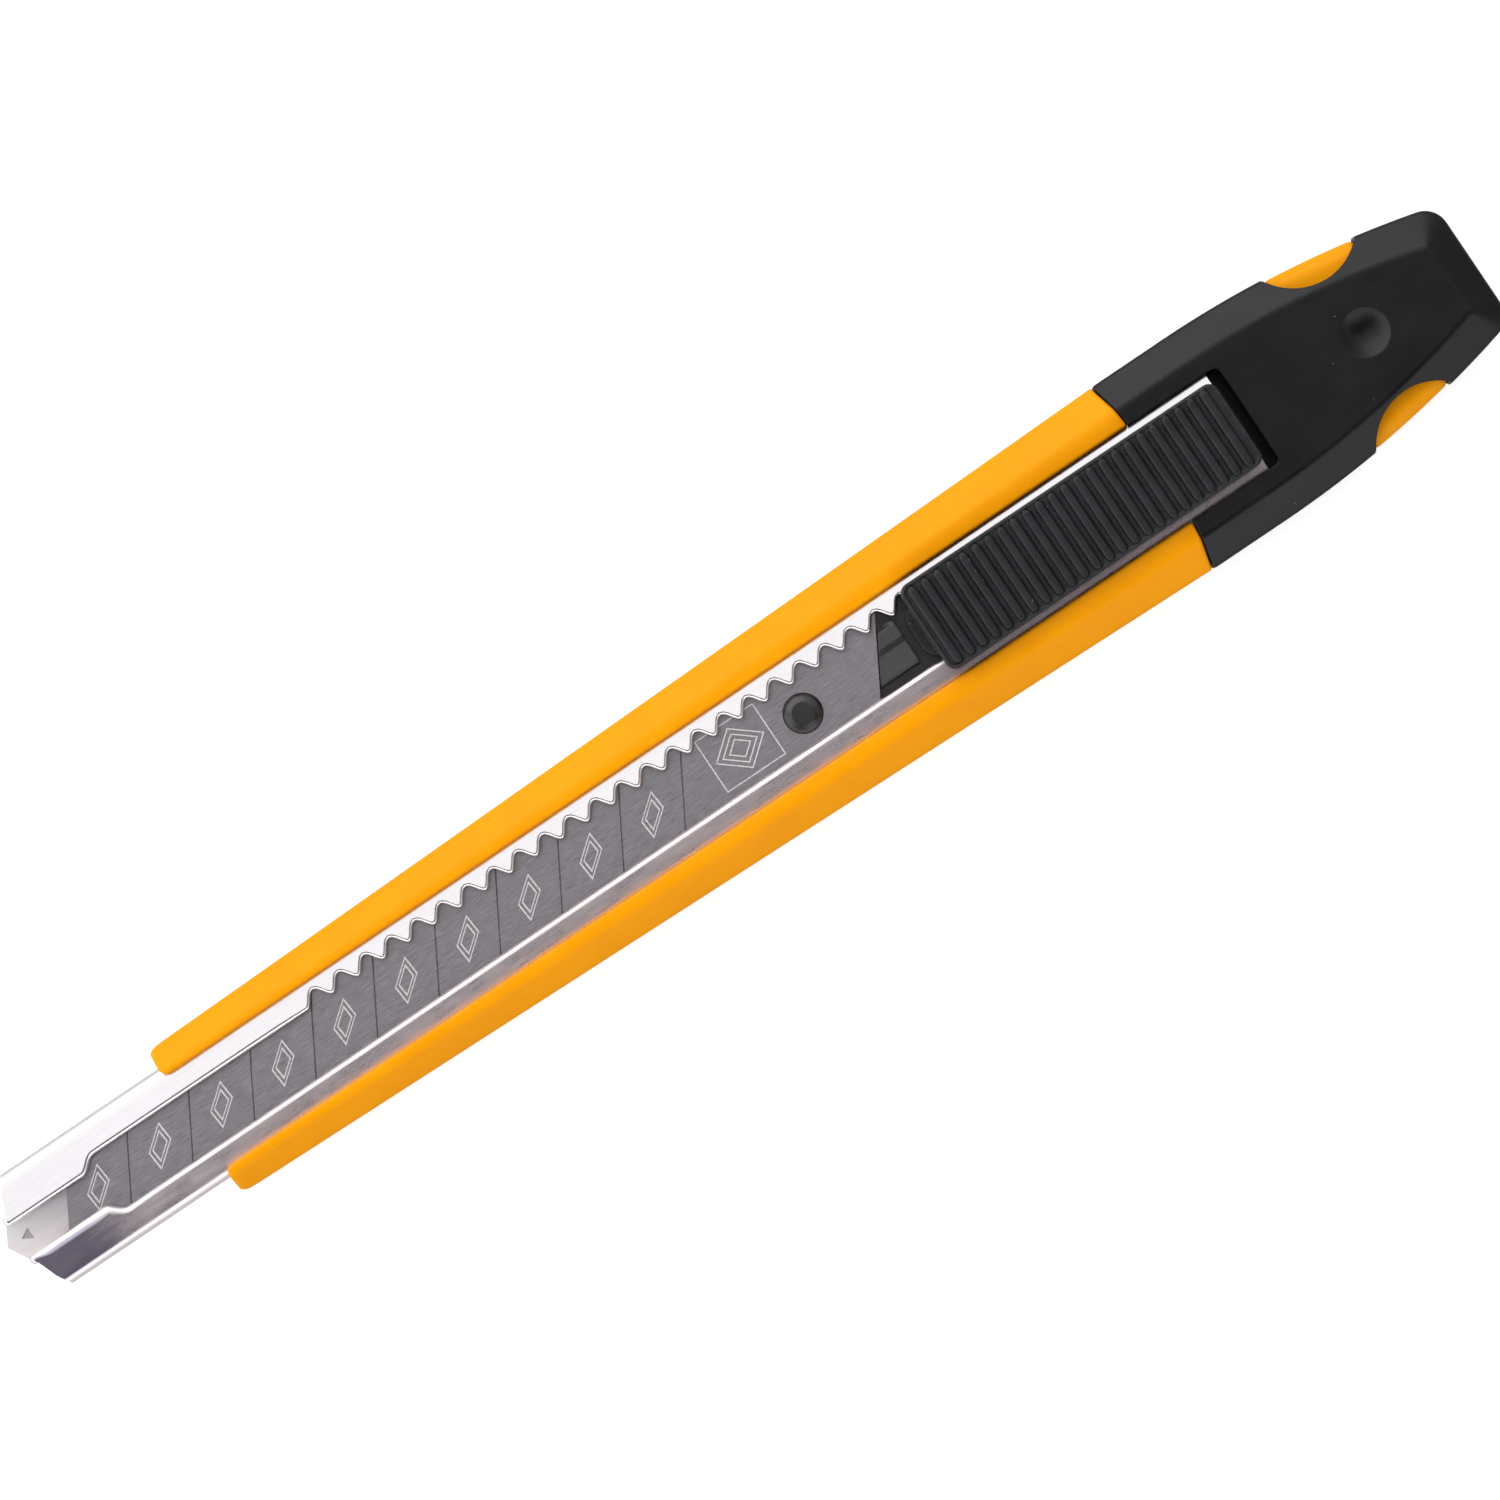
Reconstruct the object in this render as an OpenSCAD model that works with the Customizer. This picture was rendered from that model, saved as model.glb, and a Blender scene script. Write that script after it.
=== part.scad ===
// Snap-off utility knife: a scored blade in a folded steel channel, held by a plastic handle, with an
// auto-locking thumb slide and a clip-on tail cover that two side latches hold.
// X runs from the tail towards the blade's tip, +Y is the side of the cutting edge, +Z is the slide side.
// The knife lies on its flat underside at Z = 0, with the middle of its length at X = 0.

/* [Overall] */
// Overall length, tail to channel point
knife_l = 144; // [143:0.5:146]
// Thickness of the handle and the tail cover
handle_h = 7.1; // [7:0.1:7.4]

/* [Handle] */
// Width across the two arms at their front ends
front_w = 13.9; // [13.6:0.1:14.4]
// Width across the arms where the tail cover starts
rear_w = 17.8; // [17.4:0.1:18.2]
// Open gap between the arms at the front
front_gap = 8.9; // [8.8:0.05:9]
// Open gap between the arms at the rear
rear_gap = 9.36; // [9.2:0.02:9.4]
// Height lost by the sloped band along each edge
slope_drop = 1.5; // [1.2:0.1:1.5]
// Rounding of the arms' front ends
arm_r = 0.75; // [0.4:0.05:0.9]

/* [Channel] */
// Width of the steel channel
channel_w = 10.6; // [10.4:0.1:10.8]
// Height of the steel channel
channel_h = 3.6; // [3.6:0.05:3.7]
// Thickness of the sheet steel
sheet_t = 0.5; // [0.45:0.01:0.52]
// Length of one notch of the lock rack
tooth_pitch = 2.5; // [2.5:0.1:2.5]
// Depth of the lock notches
tooth_depth = 1.17; // [0.9:0.01:1.2]
// Number of lock notches
tooth_count = 34; // [30:1:34]

/* [Blade] */
// Width of the blade
blade_w = 9; // [8.8:0.1:9]
// Thickness of the blade
blade_t = 0.4; // [0.3:0.02:0.4]
// Distance between score lines
segment_l = 6.04; // [5.8:0.02:6.1]
// Number of score lines
score_count = 10; // [6:1:11]
// Angle between the blade's ends and a square cut
blade_slant = 30; // [26:1:31]

/* [Thumb slide] */
// Width of the thumb slide
slide_w = 8.1; // [7.9:0.05:8.2]
// Height of the ribs' tops above the underside of the knife
slide_top = 9.3; // [9.1:0.1:9.8]
// Number of grip ribs
rib_count = 24; // [20:1:24]
// Free travel of the thumb slide on its carrier, each way
play = 0.75; // [0.7:0.01:0.75]

/* [Tail cover] */
// Thickness of the cover's side walls
cover_wall = 1.45; // [1.3:0.05:1.5]
// Diameter of the dimple in the cover
dimple_d = 4.1; // [3.5:0.1:4.4]

/* [Hidden] */
$fn = 48;
eps = 0.02;

// Places along the knife
tip_x = knife_l / 2;
tail_x = -tip_x;
arm_x = tip_x - 18.6;
parting_x = tail_x + 31.7;
parting_mid_x = parting_x - 0.8;
channel_rear_x = tail_x + 23.2;
slide_front_x = tip_x - 90.1;
slide_rear_x = channel_rear_x;
window_x = channel_rear_x - 1.05;
stud_x = tip_x - 78.25;

// Heights of the layers
channel_z = 2.2;
cavity_z = channel_z + sheet_t;
lip_top_z = channel_z + channel_h;
lip_z = lip_top_z - sheet_t;
carrier_z = cavity_z + 0.1;
blade_z = lip_z - 0.3 - blade_t;
carrier_top_z = blade_z - 0.05;
side_top_z = handle_h - slope_drop;
side_low_z = 1.5;
roof_z = lip_top_z + 0.1;
cover_floor_z = 1.2;
core_z = cover_floor_z + 0.1;
parting_gap = 0.12;

// Slot between the channel's lips: its two edges, wide along the rack and narrow at the point
slot_rack_y = -2.45;
slot_edge_y = 2.6;
mouth_rack_y = -1.4;
mouth_edge_y = 1.55;
mouth_x = tip_x - 8.6;
slot_x = tip_x - 10.4;
first_tooth_x = tip_x - 32.6;
point_l = 3.06;

// Blade
blade_spine_x = tip_x - 8.7;
blade_rear_x = tip_x - 88.2;
slant = tan(blade_slant);
stud_r = 1.62;
hole_r = 1.68;

// Rail of the thumb slide on the carrier
rail_x = slide_rear_x + 3.8;
rail_front_gap = 4.9;

// Lock spring and its nose, which rests in a notch
nose_x = first_tooth_x - 26 * tooth_pitch;
spring_y = -1.6;
spring_t = 0.3;
post_front_x = nose_x + 4.2;
post_rear_x = nose_x - 12.8;

// Tail cover outline: straight for a while, then arcs to the rounded end
outline_x = tail_x + 24.5;
outline_y = rear_w / 2 + 0.02;
outline_r = 89;
ridge_y = 6.35;
ridge_r = 78;
ridge_end_x = tail_x + 2.5;
tail_corner_r = 2.1;
tail_corner_y = 3.9;

// Latches
latch_x = tail_x + 24.1;
latch_y = 6.45;
pad_front_x = tail_x + 15.05;
pad_rear_x = tail_x + 7.15;
window_gap = 0.2;
scoop_x = tail_x + 10.6;
scoop_y = 10.64;
scoop_r = 5.1;

function arc(cx, cy, r, a0, a1, n) =
    [for (i = [0:n]) let (a = a0 + (a1 - a0) * i / n) [cx + r * cos(a), cy + r * sin(a)]];
function mirror_y(points) = [for (i = [len(points) - 1:-1:0]) [points[i].x, -points[i].y]];
function handle_y(x) = (front_w + (rear_w - front_w) * (arm_x - x) / (arm_x - parting_x)) / 2;
function outline(x) = outline_y - pow(max(0, outline_x - x), 2) / (2 * outline_r);
function ridge(x) = ridge_y - pow(max(0, outline_x - x), 2) / (2 * ridge_r);

// Half of the tail cover's plan, from the front to the middle of the end face, moved in by inset
function cover_half(inset, front_x) = concat(
    [[front_x, outline_y - inset]],
    [for (i = [0:8]) let (x = outline_x - (outline_x - tail_x - 2.6) * i / 8) [x, outline(x) - inset]],
    arc(tail_x + tail_corner_r, tail_corner_y, tail_corner_r - inset, 76, 180, 5)
);

// Rounded rectangle of exact arcs, centred on the origin
module rounded(w, h, r) {
    square([w - 2 * r, h], center = true);
    square([w, h - 2 * r], center = true);
    for (x = [-1, 1], y = [-1, 1]) translate([x * (w / 2 - r), y * (h / 2 - r)]) circle(r);
}

// Extrudes a Y-Z section along X from x0 to x1
module along_x(x0, x1) translate([x0, 0, 0]) rotate([90, 0, 90]) linear_extrude(x1 - x0) children();

// Plan of the parting line between the handle and the tail cover, as the area in front of it
module parting(shift) {
    half = [[parting_mid_x + shift, 5.2], [parting_mid_x + 0.15 + shift, 6.4],
            [parting_x - 0.2 + shift, 8], [parting_x + shift, 12]];
    polygon(concat([[knife_l, 12], [knife_l, -12]], mirror_y(half), half));
}

// Cross-section of the handle where its half width is w
module handle_section(w) {
    band_w = 1.8;
    band_growth = 0.36;
    ridge = w - band_w - (w - front_w / 2) * band_growth;
    half = [[w - side_low_z, 0], [w, side_low_z], [w, side_top_z], [ridge, handle_h]];
    polygon(concat(half, [for (i = [3:-1:0]) [-half[i].x, half[i].y]]));
}

module handle_block() {
    rear_x = parting_mid_x - 0.2;
    hull() {
        along_x(arm_x - eps, arm_x) handle_section(front_w / 2);
        along_x(rear_x, rear_x + eps) handle_section(handle_y(rear_x));
    }
}

// Plan of one arm and of the floor, with the arms' rounded front ends
module handle_plan() {
    w = front_w / 2;
    half = concat([[-knife_l, 12], [0, 12]], arc(arm_x - arm_r, w - arm_r, arm_r, 80, 0, 6));
    polygon(concat(half, mirror_y(half)));
}

// The core is the tenon that the tail cover slides over
module core() {
    core_y = channel_w / 2 + 0.05;
    core_wall = 1.95;
    core_l = 8.9;
    for (s = [-1, 1]) difference() {
        translate([latch_x - 0.1, s > 0 ? core_y : -core_y - core_wall, core_z])
            cube([core_l, core_wall, lip_top_z - core_z]);
        translate([latch_x, s * latch_y, 0]) cylinder(r = 0.72, h = 20);
    }
    translate([latch_x - 0.1, -core_y, core_z]) cube([core_l, 2 * core_y, channel_z - core_z - 0.03]);
}

module handle() color("orange") {
    difference() {
        union() {
            intersection() {
                handle_block();
                translate([0, 0, -1]) linear_extrude(20) intersection() {
                    handle_plan();
                    parting(0);
                }
            }
            core();
        }
        // seat of the channel, open at the front and the rear
        translate([channel_rear_x - 5, -channel_w / 2 - 0.03, channel_z - 0.03])
            cube([knife_l, channel_w + 0.06, channel_h + 0.06]);
        // gap between the arms
        translate([0, 0, lip_z]) linear_extrude(10) polygon([
            [arm_x + 1, -front_gap / 2], [arm_x + 1, front_gap / 2],
            [channel_rear_x - 5, rear_gap / 2], [channel_rear_x - 5, -rear_gap / 2]]);
        // rounded inner corners of the arms' front ends
        for (s = [-1, 1]) translate([arm_x, s * front_gap / 2, lip_top_z + 0.03])
            linear_extrude(10) difference() {
                translate([0, s * arm_r / 2]) square([arm_r * 2, arm_r], center = true);
                translate([-arm_r, s * arm_r]) circle(arm_r);
            }
    }
}

// One edge of the slot from the rear to the front, with the smooth step to the narrow mouth
function step_edge(wide_y, narrow_y) = [for (i = [0:8]) let (t = i / 8)
    [slot_x + (mouth_x - slot_x) * t, wide_y + (narrow_y - wide_y) * (1 - cos(180 * t)) / 2]];
function rack_edge() = [for (i = [0:tooth_count * 12]) let (p = tooth_count - 0.5 - i / 12)
    [first_tooth_x - p * tooth_pitch, slot_rack_y - tooth_depth * (1 + cos(360 * p)) / 2]];

module slot_plan() {
    polygon(concat(
        [[channel_rear_x - 1, slot_rack_y]],
        rack_edge(),
        step_edge(slot_rack_y, mouth_rack_y),
        [[tip_x - 1.6, mouth_rack_y], [tip_x - 0.9, mouth_rack_y - 0.35], [tip_x + 1, mouth_rack_y - 0.8],
         [tip_x + 1, mouth_edge_y + 0.8], [tip_x - 1.3, mouth_edge_y + 0.35], [tip_x - 2, mouth_edge_y]],
        [for (i = [8:-1:0]) step_edge(slot_edge_y, mouth_edge_y)[i]],
        [[channel_rear_x - 1, slot_edge_y]]
    ));
}

module channel() color("gainsboro") difference() {
    intersection() {
        along_x(channel_rear_x, tip_x) translate([0, channel_z + channel_h / 2]) difference() {
            rounded(channel_w, channel_h, 0.9);
            rounded(channel_w - 2 * sheet_t, channel_h - 2 * sheet_t, 0.4);
        }
        linear_extrude(20) polygon([
            [channel_rear_x, -9], [tip_x - point_l * 9 / (channel_w / 2), -9], [tip_x, 0],
            [tip_x - point_l * 9 / (channel_w / 2), 9], [channel_rear_x, 9]]);
    }
    translate([0, 0, lip_z - 0.2]) linear_extrude(5) slot_plan();
    // small triangular stamp mark in the floor at the point
    translate([tip_x - 2, 0, cavity_z - 0.15]) linear_extrude(1) circle(0.6, $fn = 3);
}

// Cuts along a score line that meets the spine at x
module score(x) translate([x, -blade_w / 2, blade_z + blade_t]) rotate([0, 0, -blade_slant])
    translate([0, -1, 0]) rotate([-90, 0, 0]) cylinder(r = 0.07, h = blade_w / cos(blade_slant) + 2, $fn = 4);

module blade() color("dimgray") difference() {
    intersection() {
        along_x(blade_rear_x - 1, tip_x) polygon([
            [-blade_w / 2, blade_z], [blade_w / 2 - 1.5, blade_z],
            [blade_w / 2, blade_z + blade_t / 2 - 0.02], [blade_w / 2, blade_z + blade_t / 2 + 0.02],
            [blade_w / 2 - 1.5, blade_z + blade_t], [-blade_w / 2, blade_z + blade_t]]);
        linear_extrude(20) polygon([
            [blade_rear_x, -blade_w / 2], [blade_spine_x, -blade_w / 2],
            [blade_spine_x + blade_w * slant, blade_w / 2], [blade_rear_x + blade_w * slant, blade_w / 2]]);
    }
    for (i = [1:score_count]) score(blade_spine_x - i * segment_l);
    translate([stud_x, 0, 0]) cylinder(r = hole_r, h = 20);
}

module blade_carrier() color([0.09, 0.09, 0.1]) {
    block_y = 2.35;
    block_edge_y = 1.85;
    back_x = slide_front_x + 1.6;
    base_h = carrier_top_z - carrier_z;
    tongue_l = 4.2;
    rear_gap_l = 1.7;
    // tongue under the blade and base under the thumb slide
    translate([back_x, -3.9, carrier_z]) cube([stud_x + tongue_l - back_x, 7.8, base_h]);
    translate([slide_rear_x + rear_gap_l, -4.65, carrier_z])
        cube([back_x - slide_rear_x - rear_gap_l, 9.3, base_h]);
    // stud that holds the blade, with a low dome
    dome_z = blade_z + blade_t + 0.15;
    translate([stud_x, 0, carrier_top_z - 1]) cylinder(r = stud_r, h = dome_z - carrier_top_z + 1);
    translate([stud_x, 0, dome_z]) cylinder(r1 = stud_r, r2 = 1.4, h = 0.18);
    translate([stud_x, 0, dome_z + 0.18]) cylinder(r1 = 1.4, r2 = 0.95, h = 0.16);
    // ridged block behind the blade, its front edge along the blade's rear edge
    block_x = blade_rear_x - 0.13;
    intersection() {
        along_x(back_x, block_x + blade_w * slant) polygon([
            [-block_y, carrier_top_z - 1], [-block_y, 5.1], [-1.95, 5.4], [-0.8, 5.58], [-0.3, 5.56],
            [1.5, 4.9], [block_edge_y, 4.72], [block_edge_y, carrier_top_z - 1]]);
        linear_extrude(20) polygon([
            [back_x, -block_y], [block_x + (blade_w / 2 - block_y) * slant, -block_y],
            [block_x + (blade_w / 2 + block_edge_y) * slant, block_edge_y], [back_x, block_edge_y]]);
    }
    // rail that the thumb slide rides on
    rail_l = slide_front_x - rail_front_gap - rail_x;
    translate([rail_x, 0.1, carrier_top_z - 1]) cube([rail_l, 1.2, 3]);
    translate([rail_x, -0.6, lip_top_z + 0.3]) cube([rail_l, 2.6, 0.8]);
    // posts of the lock spring
    for (x = [post_front_x, post_rear_x])
        translate([x, spring_y, carrier_top_z - 1]) cylinder(r = 0.35, h = 2.15);
}

// A flat strip on edge through the points, with round bends
module strip(points) {
    for (i = [0:len(points) - 2]) let (d = points[i + 1] - points[i]) {
        translate(points[i]) rotate(atan2(d.y, d.x))
            translate([0, -spring_t / 2]) square([norm(d), spring_t]);
    }
    for (p = points) translate(p) circle(spring_t / 2, $fn = 24);
}

module lock_spring() color("silver") translate([0, 0, lip_z - 0.45]) linear_extrude(0.95) difference() {
    union() {
        strip([[post_front_x, spring_y], [nose_x + 1.15, spring_y], [nose_x, spring_y - 1.5],
               [nose_x - 1.15, spring_y], [post_rear_x, spring_y]]);
        for (x = [post_front_x, post_rear_x]) translate([x, spring_y]) circle(0.68);
    }
    for (x = [post_front_x, post_rear_x]) translate([x, spring_y]) circle(0.4);
}

module thumb_slide() color([0.16, 0.16, 0.18]) difference() {
    button_l = slide_front_x - slide_rear_x;
    button_z = lip_top_z + 0.1;
    neck_l = button_l + 0.1;
    rib_z = slide_top - 0.6;
    rib_w = 0.8;
    rib_l = slide_w - 0.7;
    rib_gap = 1;
    mid_x = (slide_front_x + slide_rear_x) / 2;
    rib_pitch = (button_l - 2.25 * rib_gap) / (rib_count - 1);
    union() {
        translate([mid_x, 0, button_z]) linear_extrude(rib_z - button_z) rounded(button_l, slide_w, 0.9);
        // low rim round the ribs
        translate([mid_x, 0, rib_z - 1]) linear_extrude(1.3) difference() {
            rounded(button_l, slide_w, 0.9);
            rounded(button_l - 0.6, slide_w - 0.6, 0.6);
        }
        for (i = [0:rib_count - 1]) translate([slide_front_x - rib_gap - i * rib_pitch, 0, rib_z - 0.5])
            linear_extrude(1.1) rounded(rib_w, rib_l, rib_w / 2 - 0.01);
        // neck between the channel's lips, round at the front
        translate([slide_rear_x + 0.7 + neck_l / 2, 0, blade_z + 0.05])
            linear_extrude(button_z - blade_z + 0.5) rounded(neck_l, 4.6, 1.2);
    }
    // T-slot for the carrier's rail
    slot_l = slide_front_x - rail_front_gap - rail_x + 2 * play;
    translate([rail_x - play, 0, 0]) cube([slot_l, 1.4, lip_top_z + 0.5]);
    translate([rail_x - play, -0.7, lip_top_z + 0.2]) cube([slot_l, 2.8, 1]);
    // pocket for the lock spring, open towards the rack, less the two cam pins
    difference() {
        translate([post_rear_x - 1.6, -4, 0]) cube([post_front_x - post_rear_x + 3.2, 3.25, button_z]);
        for (s = [-1, 1]) translate([nose_x + s * 1.6, -2.05, lip_z - 0.6]) cylinder(r = 0.22, h = 3);
        translate([post_rear_x - 2, -6, button_z - eps]) cube([30, 6, 1]);
    }
}

// Solid of the cover's outside: sloped bands round a flat top, smaller ones round the underside
module cover_body(front_x) {
    plan = cover_half(0, front_x);
    low = cover_half(side_low_z, front_x);
    top = concat(
        [[front_x, ridge_y]],
        [for (i = [0:8]) let (x = outline_x - (outline_x - ridge_end_x - 0.7) * i / 8) [x, ridge(x)]],
        [[ridge_end_x, ridge(ridge_end_x) - 0.6]]
    );
    hull() {
        linear_extrude(eps) polygon(concat(low, mirror_y(low)));
        translate([0, 0, side_low_z]) linear_extrude(side_top_z - side_low_z)
            polygon(concat(plan, mirror_y(plan)));
        translate([0, 0, handle_h - eps]) linear_extrude(eps) polygon(concat(top, mirror_y(top)));
    }
}

module tail_cover() color([0.15, 0.145, 0.16]) difference() {
    cover_body(parting_x + 1);
    // the parting line
    translate([0, 0, -1]) linear_extrude(20) parting(-parting_gap);
    // room for the core, the channel's rear end and the latches
    inner = [for (p = cover_half(cover_wall, parting_x + 2)) if (p.x > tail_x + 4) p];
    translate([0, 0, cover_floor_z]) linear_extrude(roof_z - cover_floor_z)
        polygon(concat(inner, mirror_y(inner)));
    // window of the thumb slide
    translate([0, 0, roof_z - 1]) linear_extrude(10) {
        translate([window_x, -rear_gap / 2 + 0.6]) square([20, rear_gap - 1.2]);
        translate([window_x + 0.6, -rear_gap / 2]) square([20, rear_gap]);
        for (s = [-1, 1]) translate([window_x + 0.6, s * (rear_gap / 2 - 0.6)]) circle(0.6);
    }
    for (s = [-1, 1]) {
        // scooped edge above and below each latch pad
        translate([scoop_x, s * scoop_y, side_top_z - 0.05]) cylinder(r = scoop_r, h = 10);
        translate([scoop_x, s * scoop_y, -5]) cylinder(r = scoop_r, h = 5 + side_low_z + 0.05);
        // opening in the side wall
        translate([pad_rear_x - window_gap, s > 0 ? 5.4 : -10.4, side_low_z])
            cube([pad_front_x - pad_rear_x + 2 * window_gap, 5, side_top_z - side_low_z]);
    }
    // dimple
    depth = 0.6;
    dimple_r = (pow(dimple_d / 2, 2) + pow(depth, 2)) / (2 * depth);
    translate([scoop_x, -0.2, handle_h - depth + dimple_r]) sphere(dimple_r, $fn = 64);
}

// A springy finger with a press pad, pivoting at its front end; s is the side
module latch(s) color("orange") {
    finger_z = 2;
    finger_h = side_top_z - 0.5 - finger_z;
    pad_l = pad_front_x - pad_rear_x;
    outer = [for (i = [0:6]) let (x = pad_front_x - pad_l * i / 6) [x, outline(x) - 0.2]];
    inner = [[pad_rear_x, 4.9], [pad_front_x, 5.75]];
    bevel = 0.9;
    mirror([0, s > 0 ? 0 : 1, 0]) {
        translate([latch_x, latch_y, finger_z]) cylinder(r = 0.6, h = finger_h);
        translate([0, 0, finger_z]) linear_extrude(finger_h) polygon([
            [latch_x, latch_y - 0.5], [latch_x, latch_y + 0.5],
            [pad_front_x - 0.5, 6.7], [pad_front_x - 0.5, 5.7]]);
        hull() {
            translate([0, 0, side_low_z + 0.9]) linear_extrude(side_top_z - side_low_z - 1.6)
                polygon(concat(outer, inner));
            translate([0, 0, side_low_z + 0.15]) linear_extrude(side_top_z - side_low_z - 0.3)
                polygon(concat([for (p = outer) [p.x, p.y - bevel]], inner));
        }
    }
}

module latch_left() latch(1);
module latch_right() latch(-1);

handle();
channel();
blade();
blade_carrier();
lock_spring();
thumb_slide();
tail_cover();
latch_left();
latch_right();
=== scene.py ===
"""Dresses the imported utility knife: finished meshes and procedural materials on the CAD frame."""

import logging
import math
from collections.abc import Sequence
from dataclasses import dataclass
from enum import Enum

import bmesh
import bpy
from mathutils import Matrix, Vector
from mathutils.geometry import tessellate_polygon


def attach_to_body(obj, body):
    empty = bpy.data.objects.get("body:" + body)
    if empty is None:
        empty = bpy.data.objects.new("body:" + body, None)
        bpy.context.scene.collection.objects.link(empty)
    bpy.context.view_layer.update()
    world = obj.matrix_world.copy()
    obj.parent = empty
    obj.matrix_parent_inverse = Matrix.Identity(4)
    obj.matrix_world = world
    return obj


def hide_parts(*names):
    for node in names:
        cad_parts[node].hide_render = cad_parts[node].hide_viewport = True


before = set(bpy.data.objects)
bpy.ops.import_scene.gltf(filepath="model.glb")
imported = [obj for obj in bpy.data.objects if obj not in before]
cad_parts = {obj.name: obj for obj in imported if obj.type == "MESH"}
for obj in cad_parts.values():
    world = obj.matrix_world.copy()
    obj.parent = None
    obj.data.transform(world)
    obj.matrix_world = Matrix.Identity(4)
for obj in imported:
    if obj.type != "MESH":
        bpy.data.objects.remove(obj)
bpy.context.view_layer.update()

LOG = logging.getLogger("knife")
MM = 0.001
QUARTER_TURN_DEG = (0, 15, 30, 45, 60, 75, 90)
# Points of the cover's front edge: distance from the middle of the knife, then place along it.
PARTING_LINE = ((0, -41.1), (5.2, -41.1), (6.4, -40.95), (8.0, -40.5), (12.0, -40.3))
# The part of a noise between its dark and its light patches.
SOFT_PATCHES = (0.3, 0.7)
Point = tuple[float, float]
Colour = tuple[float, float, float]


class Body(Enum):
    """The rigid bodies of the knife."""

    HANDLE = "body"
    CARRIER = "carrier"
    SLIDE = "slide"
    COVER = "cover"
    LEFT_LATCH = "left_latch"
    RIGHT_LATCH = "right_latch"


# ------------------------------------------------------------------ shader groups


class Group:
    """A shader node group under construction, with named inputs and outputs."""

    def __init__(self, name: str, inputs: dict[str, float], outputs: dict[str, str]) -> None:
        """Make the group's sockets.

        Args:
            name: The group's name.
            inputs: Each float input's name and default.
            outputs: Each output's name and socket type.
        """
        self.tree = bpy.data.node_groups.new(name, "ShaderNodeTree")
        for title, default in inputs.items():
            socket = self.tree.interface.new_socket(title, in_out="INPUT", socket_type="NodeSocketFloat")
            socket.default_value = default
        for title, kind in outputs.items():
            self.tree.interface.new_socket(title, in_out="OUTPUT", socket_type=kind)
        self.inputs = self.tree.nodes.new("NodeGroupInput")
        self.outputs = self.tree.nodes.new("NodeGroupOutput")

    def value(self, name: str) -> bpy.types.NodeSocket:
        """The socket that brings one of the inputs into the group."""
        return self.inputs.outputs[name]


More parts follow.
